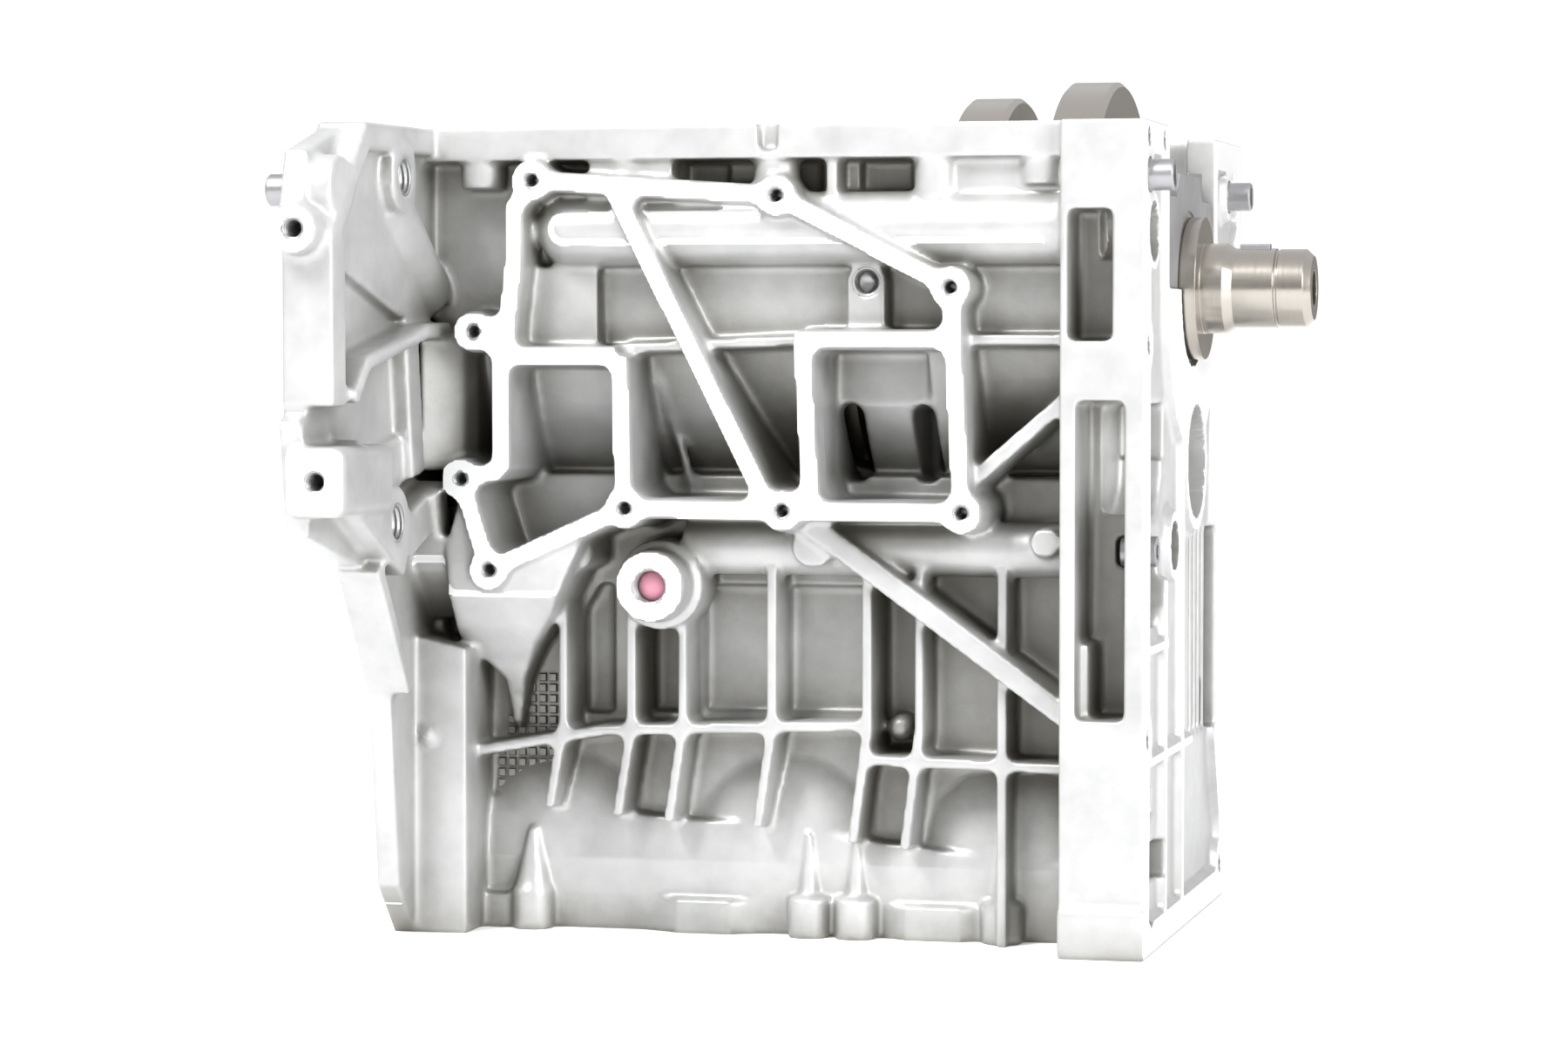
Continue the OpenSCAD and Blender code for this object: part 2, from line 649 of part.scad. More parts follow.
// Pockets, holes and window of the near side
module near_cuts() {
    translate([0, 0, deck_h])
        for (at = cover_bolts)
            rod_y(-cover_y - past, -cover_y + cover_hole_len, at[0], at[1], cover_hole_r);
    rod_y(-port_y - past, -wall_y - 4, port_x, port_z, port_r);
    block_of([window_x, -cover_y + 12, window_z], [window_x + window_w, window_back_y, window_z + window_h]);
    for (slot = window_slots) {
        block_of([slot[0], -cover_y + 12, window_z],
            [slot[0] + slot[1], -case_r + 34, window_z + window_slot_h]);
        rod_y(-cover_y + 12, -case_r + 34, slot[0] + slot[1] / 2, window_z + window_slot_h, slot[1] / 2);
    }
    rod_y(-case_out - hole_boss_out - past, -case_out + 2, hole_boss[0], deck_h + hole_boss[1],
        hole_boss_hole_r);
    for (pocket = rail_pockets)
        block_of([pocket[0], -case_out - past, rail_z - rail_t - pocket[2]],
            [pocket[1], -case_out + pocket[3], rail_z - rail_t]);
    // Notch in the edge of the oil-pan rail
    block_of([-0.4, -rail_y - past, rail_z - 8.5], [5.9, -rail_y + 4, rail_z + past]);
    // Pockets in the edge of the timing flange
    wing_x = front_x - front_t;
    block_of([wing_x + 2.8, -cover_y - past, deck_h - 17.6], [wing_x + 16.8, -cover_y + 20, deck_h + 24.4]);
    difference() {
        block_of([wing_x + 5.4, -cover_y - past, 76], [wing_x + 20.9, -cover_y + 26, deck_h - 36.6]);
        block_of([wing_x, -cover_y + 6, 76], [wing_x + 9, -cover_y + 30, 100]);
    }
    // Cells of the water-jacket wall
    along_y(-wall_y - past, -wall_y + 5)
        polygon([[-69, 72], [-58.7, 72], [-58.7, 116], [-63, 116], [-69, 106]]);
    block_of([-45.2, -wall_y - past, 73], [-32, -wall_y + 6, 106]);
    block_of([34.4, -wall_y - past, 62], [48.2, -wall_y + 6, 116]);
    block_of([-26.8, -wall_y - past, 73.5], [-1.4, -wall_y + 3, 116]);
    block_of([2.2, -wall_y - past, 73.5], [30.8, -wall_y + 3, 116]);
}

// Holes and pockets of the timing face
module timing_face_cuts() {
    face = front_x + past;
    for (port = timing_ports)
        rod_x(front_x - port[3], face, port[0], port[1], port[2]);
    along_x(front_x - 18, face) {
        translate([-65.5, deck_h - 56.6])
            circle(r = 18.5);
        translate([-88, deck_h - 56.6])
            square([45, 18.5]);
    }
    along_x(front_x - 10, face)
        polygon([[-75, deck_h - 110.6], [-75, deck_h - 86.6], [-52, deck_h - 81.6], [-60, deck_h - 110.6]]);
    for (i = [0:4])
        block_of([front_x - 9, 12 + 9 * i, 62], [face, 18 + 9 * i, 132]);
    block_of([front_x - 10, -85, 43], [face, -65, 52]);
    block_of([front_x - 10, -75, 22], [face, -55, 34]);
    rod_x(front_x - 20, face, -84, 13, 4);
    for (at = timing_holes)
        rod_x(front_x - 16, face, at[0], at[1], 2.8);
}

// Shallow recess of the gearbox face, inside its machined rim, with ribs left standing
module rear_face_recess() {
    along_x(rear_x - past, rear_x + 4)
        difference() {
            offset(delta = -face_rim)
                polygon(rear_outline);
            translate([0, deck_h])
                circle(r = cap_w / 2 + 6);
            translate([-cap_w / 2 - 6, deck_h])
                square([cap_w + 12, rail_h + past]);
            for (at = concat(gearbox_bolts, gearbox_dowel_at, [post_hole]))
                translate(at)
                    circle(r = 12.5);
            for (turn = [205, 235, 270, 305, 335])
                translate([0, deck_h])
                    rotate(turn)
                        translate([0, -2.5])
                            square([240, 5]);
            translate([-80, 0])
                square([160, 12]);
            // Land that closes the water jacket of the rear cylinder
            translate([-jacket_land_w / 2, 0])
                square([jacket_land_w, jacket_depth + 6]);
        }
}

// Shallow recess of the timing face, inside its machined rim
module front_face_recess() {
    along_x(front_x - 3, front_x + past)
        difference() {
            offset(delta = -face_rim)
                polygon(front_outline);
            translate([0, deck_h])
                circle(r = cap_w / 2 + 4);
            translate([-cap_w / 2 - 4, deck_h])
                square([cap_w + 8, rail_h + past]);
            for (at = concat(timing_dowel_at, timing_holes))
                translate(at)
                    circle(r = 9);
            for (port = timing_ports)
                translate([port[0], port[1]])
                    circle(r = port[2] + port[4]);
            translate([-cover_y, 96])
                square([50, 4]);
            translate([-58, 0])
                square([5, 120]);
            translate([-22, 0])
                square([5, deck_h - cap_w / 2]);
            translate([-cover_y, 60])
                square([102, 4]);
        }
}

module end_cuts() {
    timing_face_cuts();
    for (at = timing_dowel_at)
        rod_x(front_x - timing_dowel_in, front_x + past, at[0], at[1], dowel_r + dowel_press);
    for (at = gearbox_bolts)
        rod_x(rear_x - past, rear_x + rear_t + 7, at[0], at[1], gearbox_hole_r);
    for (at = gearbox_dowel_at)
        rod_x(rear_x - past, rear_x + gearbox_dowel_in, at[0], at[1], dowel_r + dowel_press);
    rod_x(rear_x - past, rear_x + rear_t, post_hole[0], post_hole[1], side_hole_r);
    rod_x(rear_x - past, rear_x + seal_depth, 0, deck_h, flange_r + seal_gap);
    rear_face_recess();
    front_face_recess();
    rod_y(-side_boss_a_y - past, -side_boss_a_y + side_hole_len, side_boss_a[0], side_boss_a[1], side_hole_r);
    rod_y(-side_boss_b_y - past, -side_boss_b_y + side_hole_len, side_boss_b[0], side_boss_b[1], side_hole_r);
}

// Plug seats in the far wall, and the ends of the oil galleries
module far_cuts() {
    for (x = cyl_x)
        rod_y(jacket_r - 4, wall_y + core_boss_out + past, x, core_plug_z, core_plug_r);
    for (at = far_boss_at)
        rod_y(rib_y + 4, rib_y + far_boss_out + past, at[0], at[1], far_hole_r);
    rod_x(front_x - gallery_plug_len - 2, front_x + past, -gallery_y, gallery_z, gallery_plug_r);
}

// Bolt holes of the oil-pan rail
module rail_cuts() {
    for (x = near_pan_bolts)
        translate([x, -rail_y + pan_bolt_in, rail_z - pan_hole_len])
            cylinder(h = pan_hole_len + past, r = pan_hole_r);
    for (x = far_pan_bolts)
        translate([x, rail_y - pan_bolt_in, rail_z - pan_hole_len])
            cylinder(h = pan_hole_len + past, r = pan_hole_r);
}

module cylinder_block() {
    color("gainsboro")
        difference() {
            union() {
                casting_core();
                cover_frame();
                near_ribs();
                near_deck_edge();
                near_bosses();
                far_side();
                timing_flange();
                gearbox_flange();
            }
            crank_room();
            head_face_cuts();
            near_cuts();
            far_cuts();
            end_cuts();
            rail_cuts();
        }
}

module cylinder_liner(number) {
    color("dimgray")
        translate([cyl_x[number - 1], 0, 0])
            difference() {
                cylinder(h = liner_len, r = liner_r);
                translate([0, 0, -past])
                    cylinder(h = liner_len + 2 * past, r = bore_d / 2);
            }
}

// Bearing cap, which the crankshaft is held down by
module main_cap(number) {
    x = bulkhead_x[number - 1];
    half = cap_w / 2 - 0.1;
    color("silver")
        difference() {
            along_x(x - bulkhead_t / 2, x + bulkhead_t / 2)
                translate([0, deck_h])
                    polygon([[-half, 0], [-half, seat_h - 8], [-half + 4, seat_h], [-28, seat_h],
                        [-20, cap_h], [20, cap_h], [28, seat_h], [half - 4, seat_h],
                        [half, seat_h - 8], [half, 0]]);
            rod_x(x - bulkhead_t / 2 - past, x + bulkhead_t / 2 + past, 0, deck_h, housing_r);
            for (side = [-1, 1])
                translate([x, side * cap_bolt_y, deck_h - past])
                    cylinder(h = seat_h + 2 * past, r = cap_bolt_r + 0.1, $fn = 40);
        }
}

// Half of a main bearing, with side 1 in the cap and side -1 in the block
module main_shell(number, side) {
    x = bulkhead_x[number - 1];
    low = side > 0 ? deck_h : deck_h - housing_r - past;
    color("tan")
        difference() {
            rod_x(x - shell_w / 2, x + shell_w / 2, 0, deck_h, housing_r);
            rod_x(x - shell_w / 2 - past, x + shell_w / 2 + past, 0, deck_h, main_r + oil_gap);
            block_of([x - shell_w, -housing_r - past, low - side * (housing_r + past)],
                [x + shell_w, housing_r + past, low - side * (housing_r + past) + housing_r + past]);
        }
}

module main_cap_bolts() {
    color("darkgray")
        for (x = bulkhead_x)
            for (side = [-1, 1])
                translate([x, side * cap_bolt_y, deck_h - cap_bolt_len]) {
                    cylinder(h = cap_bolt_len + seat_h, r = cap_bolt_r, $fn = 40);
                    translate([0, 0, cap_bolt_len + seat_h])
                        cylinder(h = 2.5, r = 8.5, $fn = 48);
                    translate([0, 0, cap_bolt_len + seat_h + 2])
                        cylinder(h = 8, r = 7.5, $fn = 6);
                }
}

// Two half rings that take the end thrust, one each side of the second bulkhead
module thrust_washers() {
    x = bulkhead_x[1];
    color("tan")
        for (side = [-1, 1])
            translate([x + side * (bulkhead_t / 2 + washer_t / 2), 0, deck_h])
                difference() {
                    rod_x(-washer_t / 2, washer_t / 2, 0, 0, washer_r);
                    rod_x(-washer_t, washer_t, 0, 0, main_r + 0.6);
                    block_of([-washer_t, -washer_r - past, 0], [washer_t, washer_r + past, washer_r + past]);
                }
}

// Hollow dowel pressed into an end face, with side -1 for the gearbox face and 1 for the timing face
module dowel(side, at, depth) {
    translate([side * front_x, at[0], at[1]])
        rotate([0, 90 * side, 0])
            difference() {
                union() {
                    translate([0, 0, -depth])
                        cylinder(h = depth, r = dowel_r + dowel_press);
                    cylinder(h = dowel_out - dowel_chamfer, r = dowel_r);
                    translate([0, 0, dowel_out - dowel_chamfer])
                        cylinder(h = dowel_chamfer, r1 = dowel_r, r2 = dowel_r - dowel_chamfer);
                }
                translate([0, 0, -depth - past])
                    cylinder(h = depth + dowel_out + 2 * past, r = dowel_r - dowel_wall);
            }
}

module gearbox_dowels() {
    color("darkgray")
        for (at = gearbox_dowel_at)
            dowel(-1, at, gearbox_dowel_in);
}

module timing_dowels() {
    color("darkgray")
        for (at = timing_dowel_at)
            dowel(1, at, timing_dowel_in);
}

// Cupped plugs of the far water-jacket wall
module core_plugs() {
    color("darkkhaki")
        for (x = cyl_x)
            difference() {
                rod_y(wall_y - core_plug_in, wall_y + core_plug_out, x, core_plug_z, core_plug_r);
                rod_y(wall_y - core_plug_in + core_plug_wall, wall_y + core_plug_out + past, x, core_plug_z,
                    core_plug_r - core_plug_wall);
            }
}

// Socket plug at the front end of the oil gallery
module gallery_plugs() {
    color("darkgray")
        difference() {
            rod_x(front_x - gallery_plug_len - 0.5, front_x - 0.5, -gallery_y, gallery_z, gallery_plug_r);
            translate([front_x - 5, -gallery_y, gallery_z])
                rotate([0, 90, 0])
                    cylinder(h = 6, r = 0.58 * gallery_plug_r, $fn = 6);
        }
}

// Plug inside the round side boss
module port_plug() {
    color("lightpink")
        difference() {
            rod_y(-port_y + 3, -port_y + 3 + plug_len, port_x, port_z, port_r);
            rod_y(-port_y + 2, -port_y + 6, port_x, port_z, port_r - 1.6);
        }
}

// Web of the crankshaft with its counterweight towards +Z and its pin towards -Z
module crank_web(x, weight) {
    reach = 2 * weight;
    bevel = 1.5;
    translate([x - web_t / 2, 0, 0]) {
        intersection() {
            rotate([0, 90, 0])
                rotate_extrude($fn = 96)
                    polygon([[0, 0], [weight - bevel, 0], [weight, bevel], [weight, web_t - bevel],
                        [weight - bevel, web_t], [0, web_t]]);
            along_x(-past, web_t + past)
                polygon([[0, -10], [-reach * sin(weight_angle), reach * cos(weight_angle)],
                    [-reach, reach], [reach, reach], [reach * sin(weight_angle), reach * cos(weight_angle)]]);
        }
        rod_x(0, web_t, 0, 0, web_r);
        rod_x(0, web_t, 0, -crank_throw, pin_web_r);
        along_x(0, web_t)
            polygon([[-web_r + 1, 0], [web_r - 1, 0], [pin_web_r - 1, -crank_throw],
                [-pin_web_r + 1, -crank_throw]]);
    }
}

// One throw: crankpin and its two webs
module crank_throw_at(x, turn) {
    translate([x, 0, deck_h])
        rotate([turn, 0, 0]) {
            rod_x(-pin_len / 2 - past, pin_len / 2 + past, 0, -crank_throw, pin_r);
            crank_web(pin_len / 2 + web_t / 2, weight_r);
            crank_web(-pin_len / 2 - web_t / 2, weight_r - weight_step);
        }
}

// Journals, thrust collars, flywheel flange and nose, turned about the crankshaft axis
module crank_axis_parts() {
    journal_len = cyl_pitch - pin_len - 2 * web_t;
    for (x = bulkhead_x)
        rod_x(x - journal_len / 2 - past, x + journal_len / 2 + past, 0, deck_h, main_r);
    thrust_x = bulkhead_t / 2 + washer_t + end_float;
    for (side = [-1, 1])
        translate([bulkhead_x[1] + side * (thrust_x + journal_len / 2 + past) / 2, 0, deck_h])
            rod_x(-(journal_len / 2 + past - thrust_x) / 2, (journal_len / 2 + past - thrust_x) / 2,
                0, 0, washer_r - 1);
    translate([0, 0, deck_h])
        rotate([0, 90, 0])
            rotate_extrude()
                polygon([[0, flange_x], [flange_r - 1, flange_x],
                    [flange_r, flange_x + 1], [flange_r, rear_x - 1], [main_r, rear_x - 1],
                    [main_r, -1.5 * cyl_pitch - 5], [0, -1.5 * cyl_pitch - 5]]);
    translate([0, 0, deck_h])
        rotate([0, 90, 0])
            rotate_extrude()
                polygon([[0, 1.5 * cyl_pitch + 5], [collar_r, 1.5 * cyl_pitch + 5], [collar_r, front_x + 2.2],
                    [collar_r - 0.8, front_x + 3], [nose_r, front_x + 3], [nose_r, front_x + 11.5],
                    [nose_tip_r, front_x + 14.5], [nose_tip_r, front_x + nose_len - 12.5],
                    [nose_tip_r - 0.8, front_x + nose_len - 12.3],
                    [nose_tip_r - 0.8, front_x + nose_len - 11.5],
                    [nose_tip_r - 0.3, front_x + nose_len - 11.3],
                    [nose_tip_r - 0.3, front_x + nose_len - 2.5],
                    [nose_tip_r - 2.6, front_x + nose_len], [0, front_x + nose_len]]);
}

module crankshaft() {
    color("rosybrown")
        difference() {
            union() {
                for (i = [0:2])
                    crank_throw_at(cyl_x[i], 120 * i);
                crank_axis_parts();
            }
            // Pilot hole and flywheel bolts
            rod_x(flange_x - past, flange_x + pilot_len, 0, deck_h, pilot_r);
            for (i = [0:5])
                rotate_about_crank(60 * i)
                    rod_x(flange_x - past, flange_x + flywheel_hole_len, 0, flywheel_pcr, flywheel_hole_r);
            rotate_about_crank(30)
                rod_x(flange_x - past, flange_x + flywheel_hole_len, 0, flywheel_pcr, flywheel_dowel_r);
            // Bolt hole and keyway of the nose
            rod_x(front_x + nose_len - 30, front_x + nose_len + past, 0, deck_h, 6);
            key_slot();
        }
}

module rotate_about_crank(turn) {
    translate([0, 0, deck_h])
        rotate([turn, 0, 0])
            children();
}

// Key of the crank nose
module key_slot() {
    block_of([front_x + key_x, -key_w / 2, deck_h + key_z],
        [front_x + key_x + key_len, key_w / 2, deck_h + 2 * nose_r]);
}

module nose_key() {
    color("dimgray")
        intersection() {
            key_slot();
            rod_x(front_x + key_x - past, front_x + key_x + key_len + past, 0, deck_h, nose_r - 0.3);
        }
}

module flywheel_dowel() {
    color("darkgray")
        rotate_about_crank(30)
            rod_x(flange_x - flywheel_dowel_out, flange_x + flywheel_hole_len, 0, flywheel_pcr,
                flywheel_dowel_r);
}

cylinder_block();
cylinder_liner(1);  // cylinder_liner_1
cylinder_liner(2);  // cylinder_liner_2
cylinder_liner(3);  // cylinder_liner_3
main_cap(1);  // main_cap_1
main_cap(2);  // main_cap_2
main_cap(3);  // main_cap_3
main_cap(4);  // main_cap_4
main_shell(1, -1);  // upper_main_shell_1
main_shell(2, -1);  // upper_main_shell_2
main_shell(3, -1);  // upper_main_shell_3
main_shell(4, -1);  // upper_main_shell_4
main_shell(1, 1);  // lower_main_shell_1
main_shell(2, 1);  // lower_main_shell_2
main_shell(3, 1);  // lower_main_shell_3
main_shell(4, 1);  // lower_main_shell_4
main_cap_bolts();
thrust_washers();
gearbox_dowels();
timing_dowels();
core_plugs();
gallery_plugs();
port_plug();
crankshaft();
nose_key();
flywheel_dowel();
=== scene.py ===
"""Finishes and studio of the three-cylinder engine block with its crankshaft."""

import math

import bmesh
import bpy
import numpy as np
from bpy.props import FloatProperty, FloatVectorProperty, IntProperty, PointerProperty
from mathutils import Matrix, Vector


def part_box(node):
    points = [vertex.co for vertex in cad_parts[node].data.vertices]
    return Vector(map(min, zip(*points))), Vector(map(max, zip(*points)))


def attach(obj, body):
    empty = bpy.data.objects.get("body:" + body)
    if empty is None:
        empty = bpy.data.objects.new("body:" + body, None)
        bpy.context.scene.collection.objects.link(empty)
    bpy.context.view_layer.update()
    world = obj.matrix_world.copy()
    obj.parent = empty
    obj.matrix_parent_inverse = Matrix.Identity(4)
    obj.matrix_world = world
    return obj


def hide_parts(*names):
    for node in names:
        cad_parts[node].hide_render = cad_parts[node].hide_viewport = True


bl_info = {
    "name": "Engine block finishes",
    "version": (1, 0, 0),
    "blender": (4, 5, 0),
    "location": "View3D > Sidebar > Engine block",
    "description": "Dresses a cast engine block and its crankshaft, and sets the studio round them",
    "category": "Object",
}

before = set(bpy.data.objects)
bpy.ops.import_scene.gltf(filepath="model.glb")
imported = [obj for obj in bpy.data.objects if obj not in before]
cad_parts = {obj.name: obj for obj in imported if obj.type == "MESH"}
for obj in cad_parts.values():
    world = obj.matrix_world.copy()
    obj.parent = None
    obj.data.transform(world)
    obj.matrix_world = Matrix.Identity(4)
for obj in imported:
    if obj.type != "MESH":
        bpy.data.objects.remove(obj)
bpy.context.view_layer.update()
MM = 0.001

# Lowest and highest corner of the casting
BLOCK_LOW, BLOCK_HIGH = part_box("cylinder_block")

# Milled faces of the casting: the axis they stand across, their place on it, the way they face and
# the X that they end at, which leaves the wing of the timing face cast
WING_X = 94 * MM
MILLED_FACES = [
    (1, -100 * MM, -1, WING_X),
    (1, -95 * MM, -1, WING_X),
    (1, -200 * MM, -1, WING_X),
    (1, -196 * MM, -1, WING_X),
    (2, BLOCK_HIGH.z, 1, 1.0),
    (2, BLOCK_LOW.z, -1, 1.0),
    (0, BLOCK_HIGH.x, 1, 1.0),
    (0, BLOCK_LOW.x, -1, 1.0),
]
# Bolt holes of the side cover, as X and Z in millimetres
COVER_HOLES = [
    (-75.4, 249.3),
    (6.9, 243.8),
    (64.3, 214.1),
    (68.0, 141.8),
    (8.9, 142.1),
    (-44.0, 142.4),
    (-90.3, 121.7),
    (-99.9, 151.6),
    (-95.4, 200.0),
]
COVER_Y = -100.0
COVER_HOLE_R = 2.5
# Other tapped holes of the near side: X, Y and Z of the mouth, radius, depth and pitch in millimetres
NEAR_HOLES = [
    (-120.9, -200.0, 231.5, 3.3, 17.5, 1.25),
    (-115.5, -196.0, 153.3, 3.3, 17.5, 1.25),
    (34.2, -88.0, 216.0, 4.4, 9.5, 1.25),
]
# Port with the shipping plug: X, Y and Z of its mouth and radius in millimetres
PORT = (-36.9, -95.0, 116.7, 5.6)
# Bolt holes through the gearbox flange, as Y and Z in millimetres
GEARBOX_HOLES = [(-125.5, 250.0), (-134.0, 138.6), (88.0, 14.0), (132.0, 152.0), (112.0, 250.0)]
GEARBOX_HOLE_R = 5.9
FLANGE_X = (-127.5, -109.5)
# Round holes of the casting: axis, two places across it, radius, first and last place along it
ROUND_HOLES = (
    [(0, 0.0, 214.6, 26.04, -130.0, 130.0)]
    + [(2, x, 0.0, 37.5, -1.0, 139.0) for x in (-78.0, 0.0, 78.0)]
    + [(2, x, y, 5.5, -1.0, 82.0) for x in (-117.0, -39.0, 39.0, 117.0) for y in (-47.0, 47.0)]
    + [(2, x, -86.0, 3.4, 248.0, 268.0) for x in (-96.0, -46.0, 4.0, 92.0)]
    + [(2, x, 86.0, 3.4, 248.0, 268.0) for x in (-96.0, -46.0, 4.0, 54.0, 100.0)]
    + [(0, y, z, GEARBOX_HOLE_R, -129.0, -108.0) for y, z in GEARBOX_HOLES]
    + [(0, y, z, 2.8, 110.0, 129.0) for y, z in ((-93.0, 196.0), (-93.0, 70.0), (-93.0, 262.0))]
    + [(0, y, z, 2.8, 110.0, 129.0) for y, z in ((104.0, 251.0), (66.0, 12.0), (-62.0, 262.0))]
    + [(0, 8.5, 156.0, 19.0, 112.0, 129.0), (0, -38.5, 129.5, 8.2, 106.0, 129.0)]
    + [(0, -83.0, 232.0, 9.3, 108.0, 129.0), (0, -84.0, 13.0, 4.0, 106.0, 129.0)]
    + [(1, x, z, COVER_HOLE_R, -101.0, -83.0) for x, z in COVER_HOLES]
    + [(1, x, z, r, y - 1.0, y + depth + 2.0) for x, y, z, r, depth, _ in NEAR_HOLES]
    + [(1, PORT[0], PORT[2], PORT[3], -96.0, -65.0)]
)
# Rods that back the thin wall between the water jacket and the timing face, so that the even mesh has
# no hole there: two ends and a radius, in millimetres
WALL_BACKING = [((121.2, y, 4.0), (121.2, y, 86.0), 2.5) for y in (-4.5, 0.0, 4.5)]
WALL_BACKING += [((120.4, y, 4.0), (120.4, y, 86.0), 2.4) for y in (-9.2, 9.2)]
WALL_BACKING += [((x, y, 64.0), (x, y, 87.0), 2.2) for x, y in ((116.6, 13.4), (116.3, 16.4))]
# Small marks of the casting on its near side: two ends and a radius, in millimetres
CAST_MARKS = [
    ((-77.2, -86.0, 233.4), (-77.2, -88.4, 233.4), 3.6),
    ((-40.2, -73.6, 185.0), (-35.9, -62.6, 165.7), 1.9),
    ((-35.9, -62.6, 165.7), (-31.1, -61.3, 147.8), 1.9),
    ((-115.2, -88.0, 65.6), (-115.2, -89.0, 65.6), 3.4),
    ((41.2, -60.0, 69.8), (41.2, -66.0, 69.8), 4.8),
]
# Corners of the stretch of water-jacket wall with small square pads, as X and Z in millimetres
PAD_FIELD = [(-100.5, 45.7), (-100.5, 56.0), (-90.6, 87.0), (-77.7, 87.5), (-77.8, 46.0)]
PAD_WALL_Y = -62.0


class CastingSettings(bpy.types.PropertyGroup):
    """Shape, colours and grain of the aluminium casting."""

    mesh_step: FloatProperty(
        name="Mesh step",
        description="Size of one step of the even mesh that the soft casting is made from",
        subtype="DISTANCE",
        unit="LENGTH",
        min=0.0005,
        default=1.0 * MM,
    )
    soft_rounds: IntProperty(
        name="Soft rounds",
        description="Times that the edges and corners of the cast skin are eased",
        min=0,
        default=6,
    )
    face_count: IntProperty(
        name="Triangles",
        description="Triangles that the soft casting is brought down to",
        min=1000,
        default=190000,
    )
    cast_color: FloatVectorProperty(
        name="Cast skin",
        description="Colour of the rough die-cast skin",
        subtype="COLOR",
        size=3,
        min=0.0,
        max=1.0,
        default=(0.45, 0.455, 0.45),
    )
    # Painted shade: this dark colour is mixed into the skin where the AO node finds crevices. It stands in
    # for the shade that falls there, with some real oil and dust.
    crevice_shade_and_dirt_color: FloatVectorProperty(
        name="Crevice shade and dirt",
        description="Colour painted deep between ribs for the shade that falls there, and for the oil and dust that stay there",
        subtype="COLOR",
        size=3,
        min=0.0,
        max=1.0,
        default=(0.15, 0.142, 0.12),
    )
    machined_color: FloatVectorProperty(
        name="Machined face",
        description="Colour of the freshly milled faces",
        subtype="COLOR",
        size=3,
        min=0.0,
        max=1.0,
        default=(0.86, 0.865, 0.87),
    )
    grain_size: FloatProperty(
        name="Grain size",
        description="Size of one grain of the cast skin",
        subtype="DISTANCE",
        unit="LENGTH",
        min=0.0001,
        default=0.9 * MM,
    )


class SteelSettings(bpy.types.PropertyGroup):
    """Colours of the crankshaft, bearings and fasteners."""

    crank_color: FloatVectorProperty(
        name="Crankshaft",
        description="Colour of the ground crankshaft steel",
        subtype="COLOR",
        size=3,
        min=0.0,
        max=1.0,
        default=(0.40, 0.372, 0.335),
    )
    bolt_color: FloatVectorProperty(
        name="Bolts",
        description="Colour of the bolts, dowels and keys",
        subtype="COLOR",
        size=3,
        min=0.0,
        max=1.0,
        default=(0.34, 0.34, 0.35),
    )
    iron_color: FloatVectorProperty(
        name="Cast iron",
        description="Colour of the bearing caps and liners",
        subtype="COLOR",
        size=3,
        min=0.0,
        max=1.0,
        default=(0.26, 0.26, 0.265),
    )
    shell_color: FloatVectorProperty(
        name="Bearing shells",
        description="Colour of the bearing shells and thrust washers",
        subtype="COLOR",
        size=3,
        min=0.0,
        max=1.0,
        default=(0.50, 0.46, 0.40),
    )
    plug_color: FloatVectorProperty(
        name="Port plug",
        description="Colour of the soft shipping plug in the round boss",
        subtype="COLOR",
        size=3,
        min=0.0,
        max=1.0,
        default=(0.64, 0.27, 0.35),
    )
    brass_color: FloatVectorProperty(
        name="Core plugs",
        description="Colour of the pressed brass core plugs",
        subtype="COLOR",
        size=3,
        min=0.0,
        max=1.0,
        default=(0.56, 0.44, 0.22),
    )


class StudioSettings(bpy.types.PropertyGroup):
    """Camera place and light levels."""

    camera_place: FloatVectorProperty(
        name="Camera",
        description="Place of the camera",
        subtype="TRANSLATION",
        unit="LENGTH",
        size=3,
        default=(0.3496, -1.463, 0.198),
    )
    camera_turn: FloatProperty(
        name="Turn",
        description="Angle of the view round the vertical",
        subtype="ANGLE",
        default=math.radians(14.0),
    )
    camera_tilt: FloatProperty(
        name="Tilt",
        description="Angle that the view looks down by",
        subtype="ANGLE",
        default=math.radians(2.43),
    )
    lens: FloatProperty(
        name="Lens",
        description="Focal length of the lens in millimetres on a 36 mm sensor",
        min=20.0,
        default=100.0,
    )
    key_power: FloatProperty(
        name="Key light",
        description="Power of the large light high up at the left",
        unit="POWER",
        min=0.0,
        default=104.0,
    )
    side_power: FloatProperty(
        name="Side light",
        description="Power of the soft light at the right, which reaches into the gearbox flange",
        unit="POWER",
        min=0.0,
        default=33.0,
    )
    sky_strength: FloatProperty(
        name="Surround",
        description="Strength of the pale surround that lights the object",
        min=0.0,
        default=0.8,
    )


def new_group(name, inputs, outputs):
    """Empty shader node group with its sockets and its two end nodes."""
    tree = bpy.data.node_groups.new(name, "ShaderNodeTree")
    for label, kind, value in inputs:
        socket = tree.interface.new_socket(label, in_out="INPUT", socket_type=kind)
        socket.default_value = value
    for label, kind in outputs:
        tree.interface.new_socket(label, in_out="OUTPUT", socket_type=kind)
    return tree, tree.nodes.new("NodeGroupInput"), tree.nodes.new("NodeGroupOutput")


def add_math(tree, operation, a, b=None, clamp=False):
    """Math node with sockets or numbers as its two values; returns its output."""
    node = tree.nodes.new("ShaderNodeMath")
    node.operation = operation
    node.use_clamp = clamp
    for slot, value in zip(node.inputs, (a, b)):
        if value is None:
            continue
        if isinstance(value, (int, float)):
            slot.default_value = value
        else:
            tree.links.new(value, slot)
    return node.outputs[0]


def add_noise(tree, vector, scale, detail=3.0, roughness=0.5):
    """Noise texture at a scale in turns per metre; returns its value output."""
    node = tree.nodes.new("ShaderNodeTexNoise")
    node.inputs["Scale"].default_value = scale
    node.inputs["Detail"].default_value = detail
    node.inputs["Roughness"].default_value = roughness
    tree.links.new(vector, node.inputs["Vector"])
    return node.outputs["Fac"]


